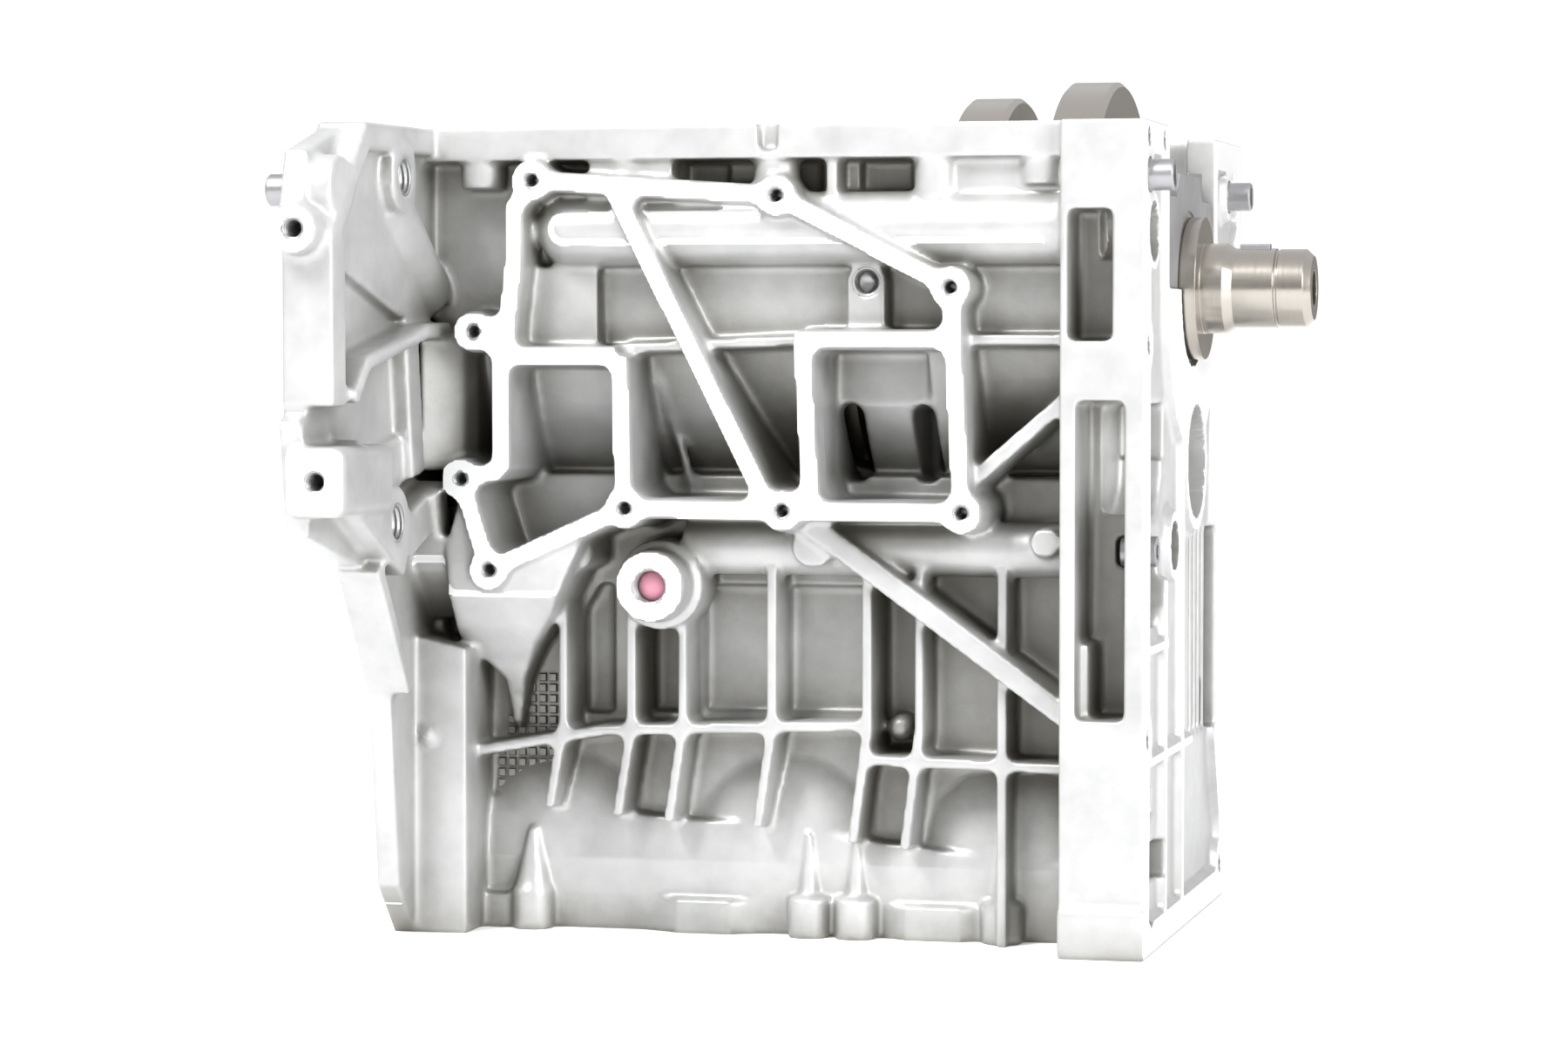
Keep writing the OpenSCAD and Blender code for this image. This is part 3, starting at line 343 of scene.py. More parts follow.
def add_range(tree, value, low, high):
    """Value brought from low and high to 0 and 1, and held there."""
    node = tree.nodes.new("ShaderNodeMapRange")
    node.inputs["From Min"].default_value = low
    node.inputs["From Max"].default_value = high
    tree.links.new(value, node.inputs["Value"])
    return node.outputs["Result"]


def add_mix(tree, factor, a, b, kind="FLOAT", blend="MIX"):
    """Mix node of two numbers or colours, each a socket or a value; returns its output."""
    node = tree.nodes.new("ShaderNodeMix")
    node.data_type = kind
    if kind == "RGBA":
        node.blend_type = blend
    ends = [slot for slot in node.inputs if slot.enabled]
    for slot, value in zip(ends, (factor, a, b)):
        if isinstance(value, bpy.types.NodeSocket):
            tree.links.new(value, slot)
        else:
            slot.default_value = value
    return next(slot for slot in node.outputs if slot.enabled)


def plane_mask_group():
    """Mask of the surface that lies on one plane and faces along its normal."""
    tree, start, end = new_group(
        "Machined plane",
        [
            ("Direction", "NodeSocketVector", (0.0, 0.0, 1.0)),
            ("Distance", "NodeSocketFloat", 0.0),
            ("Tolerance", "NodeSocketFloat", 0.35 * MM),
            ("Last X", "NodeSocketFloat", 1.0),
        ],
        [("Mask", "NodeSocketFloat")],
    )
    place = tree.nodes.new("ShaderNodeTexCoord")
    along = tree.nodes.new("ShaderNodeVectorMath")
    along.operation = "DOT_PRODUCT"
    tree.links.new(place.outputs["Object"], along.inputs[0])
    tree.links.new(start.outputs["Direction"], along.inputs[1])
    offset = add_math(tree, "SUBTRACT", along.outputs["Value"], start.outputs["Distance"])
    near = add_math(tree, "LESS_THAN", add_math(tree, "ABSOLUTE", offset), start.outputs["Tolerance"])
    facing = tree.nodes.new("ShaderNodeVectorMath")
    facing.operation = "DOT_PRODUCT"
    tree.links.new(place.outputs["Normal"], facing.inputs[0])
    tree.links.new(start.outputs["Direction"], facing.inputs[1])
    turned = add_math(tree, "GREATER_THAN", facing.outputs["Value"], 0.8)
    parts = tree.nodes.new("ShaderNodeSeparateXYZ")
    tree.links.new(place.outputs["Object"], parts.inputs["Vector"])
    before = add_math(tree, "LESS_THAN", parts.outputs["X"], start.outputs["Last X"])
    mask = add_math(tree, "MULTIPLY", add_math(tree, "MULTIPLY", near, turned), before)
    tree.links.new(mask, end.inputs["Mask"])
    return tree


def cast_skin_group():
    """Shade, roughness and height of a die-cast skin: fine grain over slow stains and flow marks."""
    tree, start, end = new_group(
        "Cast skin",
        [
            ("Color", "NodeSocketColor", (0.6, 0.6, 0.6, 1.0)),
            ("Grain", "NodeSocketFloat", 900.0),
            ("Roughness", "NodeSocketFloat", 0.5),
        ],
        [("Color", "NodeSocketColor"), ("Roughness", "NodeSocketFloat"), ("Height", "NodeSocketFloat")],
    )
    place = tree.nodes.new("ShaderNodeTexCoord")
    spot = place.outputs["Object"]
    grain = tree.nodes.new("ShaderNodeTexNoise")
    grain.inputs["Detail"].default_value = 4.0
    tree.links.new(spot, grain.inputs["Vector"])
    tree.links.new(start.outputs["Grain"], grain.inputs["Scale"])
    stains = add_noise(tree, spot, 34.0, 4.0, 0.6)
    flow = add_noise(tree, spot, 150.0, 2.0, 0.5)
    shade = add_math(tree, "MULTIPLY_ADD", stains, 0.56)
    shade.node.inputs[2].default_value = 0.64
    shade = add_math(tree, "ADD", shade, add_math(tree, "MULTIPLY", flow, 0.18))
    grey = tree.nodes.new("ShaderNodeCombineColor")
    for channel in ("Red", "Green", "Blue"):
        tree.links.new(shade, grey.inputs[channel])
    tint = add_mix(tree, 1.0, start.outputs["Color"], grey.outputs["Color"], "RGBA", "MULTIPLY")
    rough = add_math(tree, "ADD", start.outputs["Roughness"], add_math(tree, "MULTIPLY", stains, 0.14))
    tree.links.new(tint, end.inputs["Color"])
    tree.links.new(rough, end.inputs["Roughness"])
    height = add_math(tree, "ADD", grain.outputs["Fac"], add_math(tree, "MULTIPLY", flow, 1.6))
    tree.links.new(height, end.inputs["Height"])
    return tree


def turned_skin_group():
    """Roughness and height of fine tool marks, which run round an axis along X or straight across."""
    tree, start, end = new_group(
        "Tool marks",
        [("Stretch", "NodeSocketVector", (1.0, 1.0, 1.0)), ("Roughness", "NodeSocketFloat", 0.25)],
        [("Roughness", "NodeSocketFloat"), ("Height", "NodeSocketFloat")],
    )
    place = tree.nodes.new("ShaderNodeTexCoord")
    stretch = tree.nodes.new("ShaderNodeVectorMath")
    stretch.operation = "MULTIPLY"
    tree.links.new(place.outputs["Object"], stretch.inputs[0])
    tree.links.new(start.outputs["Stretch"], stretch.inputs[1])
    marks = add_noise(tree, stretch.outputs["Vector"], 1.0, 2.0, 0.5)
    rough = add_math(tree, "ADD", start.outputs["Roughness"], add_math(tree, "MULTIPLY", marks, 0.18))
    tree.links.new(rough, end.inputs["Roughness"])
    tree.links.new(marks, end.inputs["Height"])
    return tree


def place_group(material, group, **values):
    """Node group in a material, with values for its inputs."""
    node = material.node_tree.nodes.new("ShaderNodeGroup")
    node.node_tree = bpy.data.node_groups[group]
    for label, value in values.items():
        node.inputs[label].default_value = value
    return node


def base_material(name):
    """Empty material with a Principled shader; returns it with its tree and shader."""
    material = bpy.data.materials.new(name)
    material.use_nodes = True
    tree = material.node_tree
    shader = tree.nodes["Principled BSDF"]
    return material, tree, shader


def add_bump(tree, shader, height, distance, strength=1.0, radius=0.0):
    """Bump from a height, over a softened edge where a radius is given."""
    bump = tree.nodes.new("ShaderNodeBump")
    bump.inputs["Strength"].default_value = strength
    bump.inputs["Distance"].default_value = distance
    tree.links.new(height, bump.inputs["Height"])
    if radius > 0:
        bevel = tree.nodes.new("ShaderNodeBevel")
        bevel.samples = 4
        bevel.inputs["Radius"].default_value = radius
        tree.links.new(bevel.outputs["Normal"], bump.inputs["Normal"])
    tree.links.new(bump.outputs["Normal"], shader.inputs["Normal"])


def casting_material(settings):
    """Aluminium casting: rough skin, with painted shade and some dirt darkening its crevices, and the milled
    faces picked out.
    """
    material, tree, shader = base_material("Die-cast aluminium")
    skin = place_group(
        material,
        "Cast skin",
        Color=(*settings.cast_color, 1.0),
        Grain=1.0 / settings.grain_size,
        Roughness=0.36,
    )
    marks = place_group(material, "Tool marks", Stretch=(260.0, 260.0, 1900.0), Roughness=0.26)
    mask = None
    for axis, distance, way, last_x in MILLED_FACES:
        direction = [0.0, 0.0, 0.0]
        direction[axis] = way
        plane = place_group(material, "Machined plane", Direction=direction, Distance=way * distance)
        plane.inputs["Last X"].default_value = last_x
        found = plane.outputs["Mask"]
        mask = found if mask is None else add_math(tree, "MAXIMUM", mask, found)
    # Painted shade: the AO node darkens the skin towards the crevice colour in recesses and between ribs,
    # standing in for the shade that falls there, with some real dirt. The noise breaks it into patches.
    crevice = tree.nodes.new("ShaderNodeAmbientOcclusion")
    crevice.samples = 6
    crevice.inputs["Distance"].default_value = 26 * MM
    place = tree.nodes.new("ShaderNodeTexCoord")
    patches = add_noise(tree, place.outputs["Object"], 62.0, 3.0, 0.6)
    depth = add_math(tree, "ADD", crevice.outputs["AO"], add_math(tree, "MULTIPLY", patches, 0.35))
    shade_and_dirt = add_range(tree, depth, 0.92, 0.36)
    skin_with_shade_and_dirt = add_mix(tree, shade_and_dirt, skin.outputs["Color"], (*settings.crevice_shade_and_dirt_color, 1.0), "RGBA")
    color = add_mix(tree, mask, skin_with_shade_and_dirt, (*settings.machined_color, 1.0), "RGBA")
    tree.links.new(color, shader.inputs["Base Color"])
    rough = add_mix(tree, mask, skin.outputs["Roughness"], marks.outputs["Roughness"])
    tree.links.new(rough, shader.inputs["Roughness"])
    height = add_mix(tree, mask, skin.outputs["Height"], marks.outputs["Height"])
    shader.inputs["Metallic"].default_value = 0.45
    add_bump(tree, shader, height, 0.08 * MM, 0.5)
    return material


def steel_material(name, color, roughness, metallic, stretch):
    """Ground or turned metal with fine tool marks."""
    material, tree, shader = base_material(name)
    shader.inputs["Base Color"].default_value = (*color, 1.0)
    shader.inputs["Metallic"].default_value = metallic
    marks = place_group(material, "Tool marks", Stretch=stretch, Roughness=roughness)
    tree.links.new(marks.outputs["Roughness"], shader.inputs["Roughness"])
    add_bump(tree, shader, marks.outputs["Height"], 0.01 * MM, 0.4, 0.5 * MM)
    return material


def rough_material(name, color, roughness, metallic):
    """Plain cast or moulded finish with a fine grain."""
    material, tree, shader = base_material(name)
    skin = place_group(material, "Cast skin", Color=(*color, 1.0), Grain=1400.0, Roughness=roughness)
    tree.links.new(skin.outputs["Color"], shader.inputs["Base Color"])
    tree.links.new(skin.outputs["Roughness"], shader.inputs["Roughness"])
    shader.inputs["Metallic"].default_value = metallic
    add_bump(tree, shader, skin.outputs["Height"], 0.04 * MM, 0.4, 0.4 * MM)
    return material


def dress(names, material):
    """Gives CAD nodes a material."""
    for name in names:
        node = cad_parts[name]
        node.data.materials.clear()
        node.data.materials.append(material)


def names_with(start):
    """Names of the CAD nodes that begin alike."""
    return [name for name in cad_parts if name.startswith(start)]


def add_piece(name, mesh, material, body="block"):
    """Object of a mesh that rides on a body and takes the material it is given."""
    piece = bpy.data.objects.new(name, mesh)
    bpy.context.scene.collection.objects.link(piece)
    mesh.materials.clear()
    mesh.materials.append(material)
    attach(piece, body)
    return piece


def mesh_from(name, places, faces, smooth=True):
    """Mesh of places in metres and faces."""
    mesh = bpy.data.meshes.new(name)
    mesh.from_pydata([tuple(place) for place in places], [], faces)
    mesh.update()
    mesh.polygons.foreach_set("use_smooth", [smooth] * len(mesh.polygons))
    return mesh


def rounded_rod(start, end, radius, turns=16, steps=4):
    """Points and faces of a rod between two places, with round ends."""
    start, end = Vector(start), Vector(end)
    along = (end - start).normalized()
    side = along.orthogonal().normalized()
    up = along.cross(side)
    places = []
    for centre, way in ((start, -1), (end, 1)):
        for step in range(steps) if way > 0 else reversed(range(steps)):
            angle = math.pi / 2 * step / steps
            for i in range(turns):
                turn = 2 * math.pi * i / turns
                out = (side * math.cos(turn) + up * math.sin(turn)) * radius * math.cos(angle)
                places.append((centre + out + along * way * radius * math.sin(angle)) * MM)
    faces = []
    for row in range(2 * steps - 1):
        for i in range(turns):
            j = (i + 1) % turns
            faces.append((row * turns + i, row * turns + j, (row + 1) * turns + j, (row + 1) * turns + i))
    faces.append(tuple(reversed(range(turns))))
    faces.append(tuple(range((2 * steps - 1) * turns, 2 * steps * turns)))
    return places, faces


def with_marks(mesh):
    """Copy of the mesh of the casting that also holds its small marks and the backing of its thin wall."""
    both = bmesh.new()
    both.from_mesh(mesh)
    for start, end, radius in CAST_MARKS + WALL_BACKING:
        places, faces = rounded_rod(start, end, radius)
        corners = [both.verts.new(place) for place in places]
        for face in faces:
            both.faces.new([corners[i] for i in face])
    joined = bpy.data.meshes.new("casting_with_marks")
    both.to_mesh(joined)
    both.free()
    return joined


def mesh_after(mesh, kind, **values):
    """New mesh that a modifier makes of a mesh, taken from a stand-in."""
    stand_in = bpy.data.objects.new("casting_stand_in", mesh)
    bpy.context.scene.collection.objects.link(stand_in)
    step = stand_in.modifiers.new("Step", kind)
    for label, value in values.items():
        setattr(step, label, value)
    graph = bpy.context.evaluated_depsgraph_get()
    made = bpy.data.meshes.new_from_object(stand_in.evaluated_get(graph))
    bpy.data.objects.remove(stand_in)
    return made


def sharpen_rims(mesh):
    """Marks the edges sharp where a milled face ends."""
    count = len(mesh.polygons)
    middles, normals = np.empty(count * 3), np.empty(count * 3)
    mesh.polygons.foreach_get("center", middles)
    mesh.polygons.foreach_get("normal", normals)
    middles, normals = middles.reshape(-1, 3), normals.reshape(-1, 3)
    milled = np.zeros(count, dtype=bool)
    for axis, distance, way, last_x in MILLED_FACES:
        flat = (np.abs(middles[:, axis] - distance) < 0.03 * MM) & (middles[:, 0] < last_x)
        milled |= flat & (normals[:, axis] * way > 0.995)
    corners, edges = np.empty(count, dtype=np.int32), np.empty(len(mesh.loops), dtype=np.int32)
    mesh.polygons.foreach_get("loop_total", corners)
    mesh.loops.foreach_get("edge_index", edges)
    sides = np.bincount(edges, weights=np.repeat(milled, corners), minlength=len(mesh.edges))
    mesh.edges.foreach_set("use_edge_sharp", sides == 1)


def held_points(places, step):
    """Points that stay on a milled plane or on the wall of a round hole, with how they are held."""
    planes = []
    for axis, distance, _, last_x in MILLED_FACES:
        on_plane = (np.abs(places[:, axis] - distance) < 0.3 * step) & (places[:, 0] < last_x)
        planes.append((axis, distance, np.flatnonzero(on_plane)))
    walls = []
    for axis, a, b, radius, first, last in ROUND_HOLES:
        across = [i for i in range(3) if i != axis]
        middle = np.array([a, b]) * MM
        reach = np.linalg.norm(places[:, across] - middle, axis=1)
        inside = (places[:, axis] > first * MM) & (places[:, axis] < last * MM)
        near = inside & (np.abs(reach - radius * MM) < 0.35 * step)
        walls.append((across, middle, radius * MM, np.flatnonzero(near)))
    return planes, walls


def soften(mesh, step, rounds):
    """Eases the edges and corners of an even mesh, and keeps its milled faces flat and its holes round."""
    count = len(mesh.vertices)
    places = np.empty(count * 3)
    mesh.vertices.foreach_get("co", places)
    places = places.reshape(count, 3)
    edges = np.empty(len(mesh.edges) * 2, dtype=np.int64)
    mesh.edges.foreach_get("vertices", edges)
    edges = edges.reshape(-1, 2)
    here = np.concatenate([edges[:, 0], edges[:, 1]])
    there = np.concatenate([edges[:, 1], edges[:, 0]])
    neighbours = np.bincount(here, minlength=count)
    planes, walls = held_points(places, step)
    for _ in range(rounds):
        middle = [np.bincount(here, weights=places[there, axis], minlength=count) for axis in range(3)]
        places += 0.5 * (np.stack(middle, axis=1) / neighbours[:, None] - places)
        for axis, distance, held in planes:
            places[held, axis] = distance
        for across, centre, radius, held in walls:
            away = places[np.ix_(held, across)] - centre
            places[np.ix_(held, across)] = centre + away * (radius / np.linalg.norm(away, axis=1))[:, None]
    mesh.vertices.foreach_set("co", places.ravel())
    mesh.update()


class OBJECT_OT_block_casting(bpy.types.Operator):
    """Make the aluminium casting with its eased edges, and finish it"""

    bl_idname = "object.block_casting"
    bl_label = "Casting"

    def execute(self, context):
        settings = context.scene.block_casting
        material = casting_material(settings)
        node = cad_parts["cylinder_block"]
        dress(["cylinder_block"], material)
        step = settings.mesh_step * 1.0
        mesh = mesh_after(with_marks(node.data), "REMESH", mode="VOXEL", voxel_size=step)
        if not mesh.polygons:
            raise RuntimeError("the casting gave no mesh")
        soften(mesh, step, settings.soft_rounds)
        mesh = mesh_after(mesh, "DECIMATE", ratio=min(1.0, settings.face_count / (2 * len(mesh.polygons))))
        mesh.polygons.foreach_set("use_smooth", [True] * len(mesh.polygons))
        sharpen_rims(mesh)
        piece = add_piece("soft_casting", mesh, material)
        flat = piece.modifiers.new("Flat faces", "WEIGHTED_NORMAL")
        flat.keep_sharp = True
        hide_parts("cylinder_block")
        return {"FINISHED"}


def thread_sleeve(name, mouth, inward, radius, depth, pitch, closed=True):
    """Closed sleeve with a thread on its inside, from the mouth of a hole inwards."""
    turns = 28
    rows = max(4, int(round(depth / pitch * 7)))
    inward = Vector(inward).normalized()
    side = inward.orthogonal().normalized()
    up = inward.cross(side)
    mouth = Vector(mouth)

    def ring(reach, along, wave=0.0):
        """Points of one ring, whose radius may swing by a wave."""
        for i in range(turns):
            angle = 2 * math.pi * i / turns
            swing = wave * abs(2 * ((along / pitch + i / turns) % 1.0) - 1)
            spot = mouth + inward * along + (side * math.cos(angle) + up * math.sin(angle)) * (reach - swing)
            yield spot * MM

    groove = 0.55 * pitch
    places = []
    places.extend(ring(radius + 0.5, 0.3))
    places.extend(ring(radius - 0.05, 0.3))
    for row in range(rows + 1):
        places.extend(ring(radius - 0.05, 0.6 + (depth - 0.6) * row / rows, groove))
    if not closed:
        places.extend(ring(radius - 0.05, depth + 0.3))
        places.extend(ring(radius + 0.5, depth + 0.3))
    rings = len(places) // turns
    faces = []
    for row in range(rings - 1 if closed else rings):
        low, high = row * turns, (row + 1) % rings * turns
        for i in range(turns):
            j = (i + 1) % turns
            faces.append((low + i, high + i, high + j, low + j))
    if closed:
        last = (rings - 1) * turns
        places.append((mouth + inward * (depth + 0.3 * radius)) * MM)
        places.extend(ring(radius + 0.5, depth + 0.5 * radius))
        tip = last + turns
        back = tip + 1
        places.append((mouth + inward * (depth + 0.5 * radius)) * MM)
        for i in range(turns):
            j = (i + 1) % turns
            faces.append((last + i, tip, last + j))
            faces.append((back + i, i, j, back + j))
            faces.append((back + j, back + turns, back + i))
    return mesh_from(name, places, faces)


class OBJECT_OT_block_threads(bpy.types.Operator):
    """Make the threads of the tapped holes"""

    bl_idname = "object.block_threads"
    bl_label = "Threads"

    def execute(self, context):
        material = bpy.data.materials["Cut thread"]
        holes = [
            (f"cover_thread_{i + 1}", (x, COVER_Y, z), COVER_HOLE_R, 10.0, 1.0)
            for i, (x, z) in enumerate(COVER_HOLES)
        ]
        holes += [
            (f"side_thread_{i + 1}", (x, y, z), radius, depth - 0.4 * radius, pitch)
            for i, (x, y, z, radius, depth, pitch) in enumerate(NEAR_HOLES)
        ]
        for name, mouth, radius, depth, pitch in holes:
            mesh = thread_sleeve(name, mouth, (0, 1, 0), radius, depth, pitch)
            add_piece(name, mesh, material)
        for i, (y, z) in enumerate(GEARBOX_HOLES):
            length = FLANGE_X[1] - FLANGE_X[0] - 0.6
            name, mouth = f"gearbox_thread_{i + 1}", (FLANGE_X[1], y, z)
            mesh = thread_sleeve(name, mouth, (-1, 0, 0), GEARBOX_HOLE_R, length, 1.75, False)
            add_piece(name, mesh, material)
        return {"FINISHED"}


def turned_mesh(name, centre, profile, turns=48):
    """Closed solid turned about an axis along Y, from radius and place along Y of its profile."""
    places = []
    for radius, y in profile[1:-1]:
        for i in range(turns):
            angle = 2 * math.pi * i / turns
            places.append((Vector((math.cos(angle) * radius, y, math.sin(angle) * radius)) + centre) * MM)
    faces = []
    rings = len(profile) - 2
    for row in range(rings - 1):
        for i in range(turns):
            j = (i + 1) % turns
            faces.append((row * turns + i, (row + 1) * turns + i, (row + 1) * turns + j, row * turns + j))
    for end, row in ((0, 0), (-1, rings - 1)):
        tip = len(places)
        places.append((Vector((0.0, profile[end][1], 0.0)) + centre) * MM)
        for i in range(turns):
            j = (i + 1) % turns
            corner = (row * turns + i, row * turns + j, tip)
            faces.append(corner if end == 0 else corner[::-1])
    return mesh_from(name, places, faces)


class OBJECT_OT_block_plug(bpy.types.Operator):
    """Make the soft plug in the port, and the thread that it sits in"""

    bl_idname = "object.block_plug"
    bl_label = "Port plug"

    def execute(self, context):
        x, y, z, radius = PORT
        steps = 7
        reach = radius - 0.45
        dome = [(0.0, 3.4)]
        for i in range(1, steps):
            angle = math.pi / 2 * i / steps
            dome.append((reach * math.sin(angle) ** 0.8, 5.6 - 2.2 * math.cos(angle)))
        dome += [(reach, 5.6), (reach - 0.15, 12.0), (reach - 0.8, 13.5), (0.0, 13.5)]
        mesh = turned_mesh("shipping_plug", Vector((x, y, z)), dome)
        plug = add_piece("shipping_plug", mesh, bpy.data.materials["Pink plug"])
        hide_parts("port_plug")
        sleeve = thread_sleeve("port_thread", (x, y, z), (0, 1, 0), radius, 9.0, 1.0, False)
        add_piece("port_thread", sleeve, bpy.data.materials["Cut thread"])
        return {"FINISHED"}


def inside(point, corners):
    """Whether a point lies in an outline."""
    x, z = point
    found = False
    for i, (xa, za) in enumerate(corners):
        xb, zb = corners[i - 1]
        if (za > z) != (zb > z) and x < (xb - xa) * (z - za) / (zb - za) + xa:
            found = not found
    return found


def pad_shape(x, z, wall_y, half, height):
    """Points and faces of one small pad with sloping sides, on a wall that faces -Y."""
    places = []
    for reach, y in ((half, wall_y + 0.5), (half, wall_y - 0.4 * height), (0.78 * half, wall_y - height)):
        for dx, dz in ((-1, -1), (1, -1), (1, 1), (-1, 1)):
            places.append(((x + dx * reach) * MM, y * MM, (z + dz * reach) * MM))
    faces = [(0, 3, 2, 1), (8, 9, 10, 11)]
    for low in (0, 4):
        for i in range(4):
            j = (i + 1) % 4
            faces.append((low + i, low + j, low + 4 + j, low + 4 + i))
    return places, faces


class OBJECT_OT_block_wall_pads(bpy.types.Operator):
    """Make the field of small square pads on the water-jacket wall"""

    bl_idname = "object.block_wall_pads"
    bl_label = "Wall pads"

    def execute(self, context):
        pitch, half, height = 3.6, 1.35, 1.2
        places, faces = [], []
        for column in range(7):
            for row in range(13):
                x, z = -79.6 - column * pitch, 47.8 + row * pitch
                if all(inside((x + dx * half, z + dz * half), PAD_FIELD) for dx in (-1, 1) for dz in (-1, 1)):
                    start = len(places)
                    points, sides = pad_shape(x, z, PAD_WALL_Y, half, height)
                    places += points
                    faces += [tuple(start + i for i in side) for side in sides]
        mesh = mesh_from("wall_pads", places, faces, smooth=False)
        add_piece("wall_pads", mesh, bpy.data.materials["Die-cast aluminium"])
        return {"FINISHED"}


class OBJECT_OT_block_crank(bpy.types.Operator):
    """Finish the crankshaft, its key and the flywheel dowel"""

    bl_idname = "object.block_crank"
    bl_label = "Crankshaft"

    def execute(self, context):
        steel = context.scene.block_steel
        around = (2600.0, 60.0, 60.0)
        dress(["crankshaft"], steel_material("Ground crank steel", steel.crank_color, 0.14, 1.0, around))
        dress(["nose_key", "flywheel_dowel"], bpy.data.materials["Bolt steel"])
        return {"FINISHED"}


class OBJECT_OT_block_bearings(bpy.types.Operator):
    """Finish the liners, bearing caps, shells and thrust washers"""

    bl_idname = "object.block_bearings"
    bl_label = "Bearings and liners"

    def execute(self, context):
        steel = context.scene.block_steel
        liners = steel_material("Honed iron", steel.iron_color, 0.3, 0.9, (900, 900, 900))
        dress(names_with("cylinder_liner"), liners)
        caps = [f"main_cap_{number}" for number in range(1, 5)]
        dress(caps, rough_material("Cap iron", steel.iron_color, 0.5, 0.6))
        shells = names_with("upper_main_shell") + names_with("lower_main_shell") + ["thrust_washers"]
        dress(shells, steel_material("Bearing metal", steel.shell_color, 0.25, 0.9, (900, 300, 300)))
        return {"FINISHED"}


class OBJECT_OT_block_fasteners(bpy.types.Operator):
    """Finish the bolts, dowels and plugs"""

    bl_idname = "object.block_fasteners"
    bl_label = "Fasteners and plugs"

    def execute(self, context):
        steel = context.scene.block_steel
        bolt = steel_material("Bolt steel", steel.bolt_color, 0.3, 0.9, (700, 700, 700))
        dress(["main_cap_bolts", "gearbox_dowels", "timing_dowels", "gallery_plugs"], bolt)
        dress(["core_plugs"], steel_material("Pressed brass", steel.brass_color, 0.28, 0.9, (500, 500, 500)))
        dress(["port_plug"], rough_material("Pink plug", steel.plug_color, 0.38, 0.0))
        steel_material("Cut thread", context.scene.block_casting.cast_color, 0.22, 0.8, (900, 900, 900))
        return {"FINISHED"}


def area_light(name, place, target, power, width, height):
    """Soft rectangular light that points at a target."""
    lamp = bpy.data.lights.new(name, "AREA")
    lamp.shape = "RECTANGLE"
    lamp.size = width
    lamp.size_y = height
    lamp.energy = power
    light = bpy.data.objects.new(name, lamp)
    light.location = place
    light.rotation_euler = (Vector(target) - Vector(place)).to_track_quat("-Z", "Y").to_euler()
    bpy.context.scene.collection.objects.link(light)
    return light


def white_surround(strength):
    """World that is plain white behind the object and lights it more from above than from the side."""
    world = bpy.data.worlds.new("White surround")
    world.use_nodes = True
    tree = world.node_tree
    plain = tree.nodes["Background"]
    plain.inputs["Strength"].default_value = 1.1
    plain.inputs["Color"].default_value = (1.0, 1.0, 1.0, 1.0)
    lit = tree.nodes.new("ShaderNodeBackground")
    lit.inputs["Strength"].default_value = strength
    place = tree.nodes.new("ShaderNodeTexCoord")
    parts = tree.nodes.new("ShaderNodeSeparateXYZ")
    tree.links.new(place.outputs["Generated"], parts.inputs["Vector"])
    ramp = tree.nodes.new("ShaderNodeValToRGB")
    tree.links.new(add_range(tree, parts.outputs["Z"], -0.2, 1.0), ramp.inputs["Fac"])
    stops = [
        (0.0, (0.75, 0.72, 0.68)),
        (0.17, (0.42, 0.40, 0.37)),
        (0.3, (0.70, 0.70, 0.70)),
        (0.6, (1.2, 1.2, 1.22)),
    ]
    while len(ramp.color_ramp.elements) < len(stops):
        ramp.color_ramp.elements.new(0.5)
    for element, (at, color) in zip(ramp.color_ramp.elements, stops):
        element.position = at
        element.color = (*color, 1.0)
    tree.links.new(ramp.outputs["Color"], lit.inputs["Color"])
    rays = tree.nodes.new("ShaderNodeLightPath")
    choose = tree.nodes.new("ShaderNodeMixShader")
    tree.links.new(rays.outputs["Is Camera Ray"], choose.inputs["Fac"])
    tree.links.new(lit.outputs["Background"], choose.inputs[1])
    tree.links.new(plain.outputs["Background"], choose.inputs[2])
    tree.links.new(choose.outputs["Shader"], tree.nodes["World Output"].inputs["Surface"])
    return world


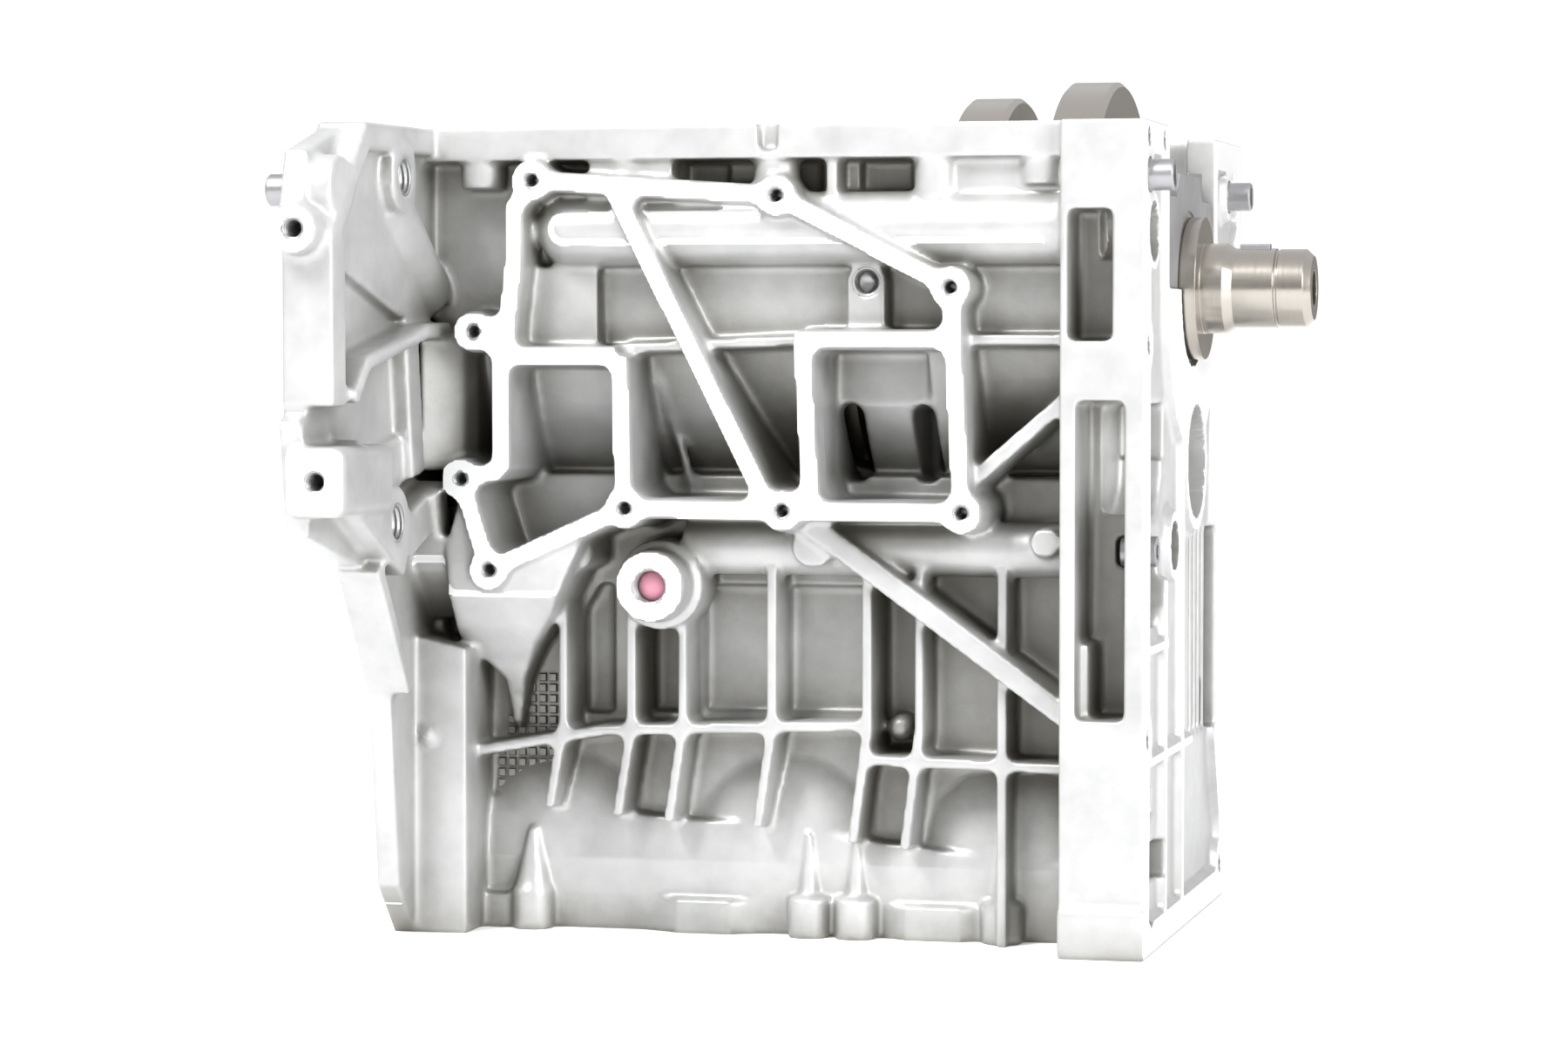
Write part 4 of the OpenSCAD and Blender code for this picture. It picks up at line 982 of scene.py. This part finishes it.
class OBJECT_OT_block_studio(bpy.types.Operator):
    """Make the floor, lights and camera"""

    bl_idname = "object.block_studio"
    bl_label = "Studio"

    def execute(self, context):
        studio = context.scene.block_studio
        scene = context.scene
        bpy.ops.mesh.primitive_plane_add(size=12.0, location=(0.0, 0.0, 0.0))
        floor = context.active_object
        floor.name = "studio_floor"
        material, _, shader = base_material("White floor")
        shader.inputs["Base Color"].default_value = (0.88, 0.88, 0.88, 1.0)
        shader.inputs["Roughness"].default_value = 0.7
        shader.inputs["Emission Color"].default_value = (1.0, 1.0, 1.0, 1.0)
        shader.inputs["Emission Strength"].default_value = 0.2
        floor.data.materials.append(material)
        target = (0.0, -0.05, 0.13)
        area_light("key_light", (-1.1, -1.6, 2.3), target, studio.key_power, 0.8, 0.8)
        area_light("side_light", (1.5, -1.0, 0.8), target, studio.side_power, 1.2, 1.2)
        scene.world = white_surround(studio.sky_strength)
        scene.view_settings.view_transform = "Standard"
        camera = bpy.data.cameras.new("photo_camera")
        camera.lens = studio.lens
        camera.sensor_width = 36.0
        viewer = bpy.data.objects.new("photo_camera", camera)
        viewer.location = studio.camera_place
        viewer.rotation_euler = (math.radians(90.0) - studio.camera_tilt, 0.0, studio.camera_turn)
        scene.collection.objects.link(viewer)
        scene.camera = viewer
        return {"FINISHED"}


class VIEW3D_PT_block_panel(bpy.types.Panel):
    """Steps that dress the engine block"""

    bl_label = "Engine block"
    bl_idname = "VIEW3D_PT_block_panel"
    bl_space_type = "VIEW_3D"
    bl_region_type = "UI"
    bl_category = "Engine block"

    def draw(self, context):
        layout = self.layout
        for step in STEPS:
            layout.operator(step.bl_idname)
        for group in (context.scene.block_casting, context.scene.block_steel, context.scene.block_studio):
            box = layout.box()
            for label in group.bl_rna.properties.keys():
                if label not in ("rna_type", "name"):
                    box.prop(group, label)


SETTINGS = (CastingSettings, SteelSettings, StudioSettings)
STEPS = (
    OBJECT_OT_block_fasteners,
    OBJECT_OT_block_casting,
    OBJECT_OT_block_threads,
    OBJECT_OT_block_plug,
    OBJECT_OT_block_wall_pads,
    OBJECT_OT_block_crank,
    OBJECT_OT_block_bearings,
    OBJECT_OT_block_studio,
)


def register():
    """Registers the settings, steps and panel."""
    for cls in (*SETTINGS, *STEPS, VIEW3D_PT_block_panel):
        bpy.utils.register_class(cls)
    bpy.types.Scene.block_casting = PointerProperty(type=CastingSettings)
    bpy.types.Scene.block_steel = PointerProperty(type=SteelSettings)
    bpy.types.Scene.block_studio = PointerProperty(type=StudioSettings)


def unregister():
    """Takes the settings, steps and panel away again."""
    del bpy.types.Scene.block_studio
    del bpy.types.Scene.block_steel
    del bpy.types.Scene.block_casting
    for cls in reversed((*SETTINGS, *STEPS, VIEW3D_PT_block_panel)):
        bpy.utils.unregister_class(cls)


def main():
    """Makes every piece in order."""
    register()
    plane_mask_group()
    cast_skin_group()
    turned_skin_group()
    bpy.ops.object.block_fasteners()
    bpy.ops.object.block_casting()
    bpy.ops.object.block_threads()
    bpy.ops.object.block_plug()
    bpy.ops.object.block_wall_pads()
    bpy.ops.object.block_crank()
    bpy.ops.object.block_bearings()
    bpy.ops.object.block_studio()


if __name__ == "__main__":
    main()
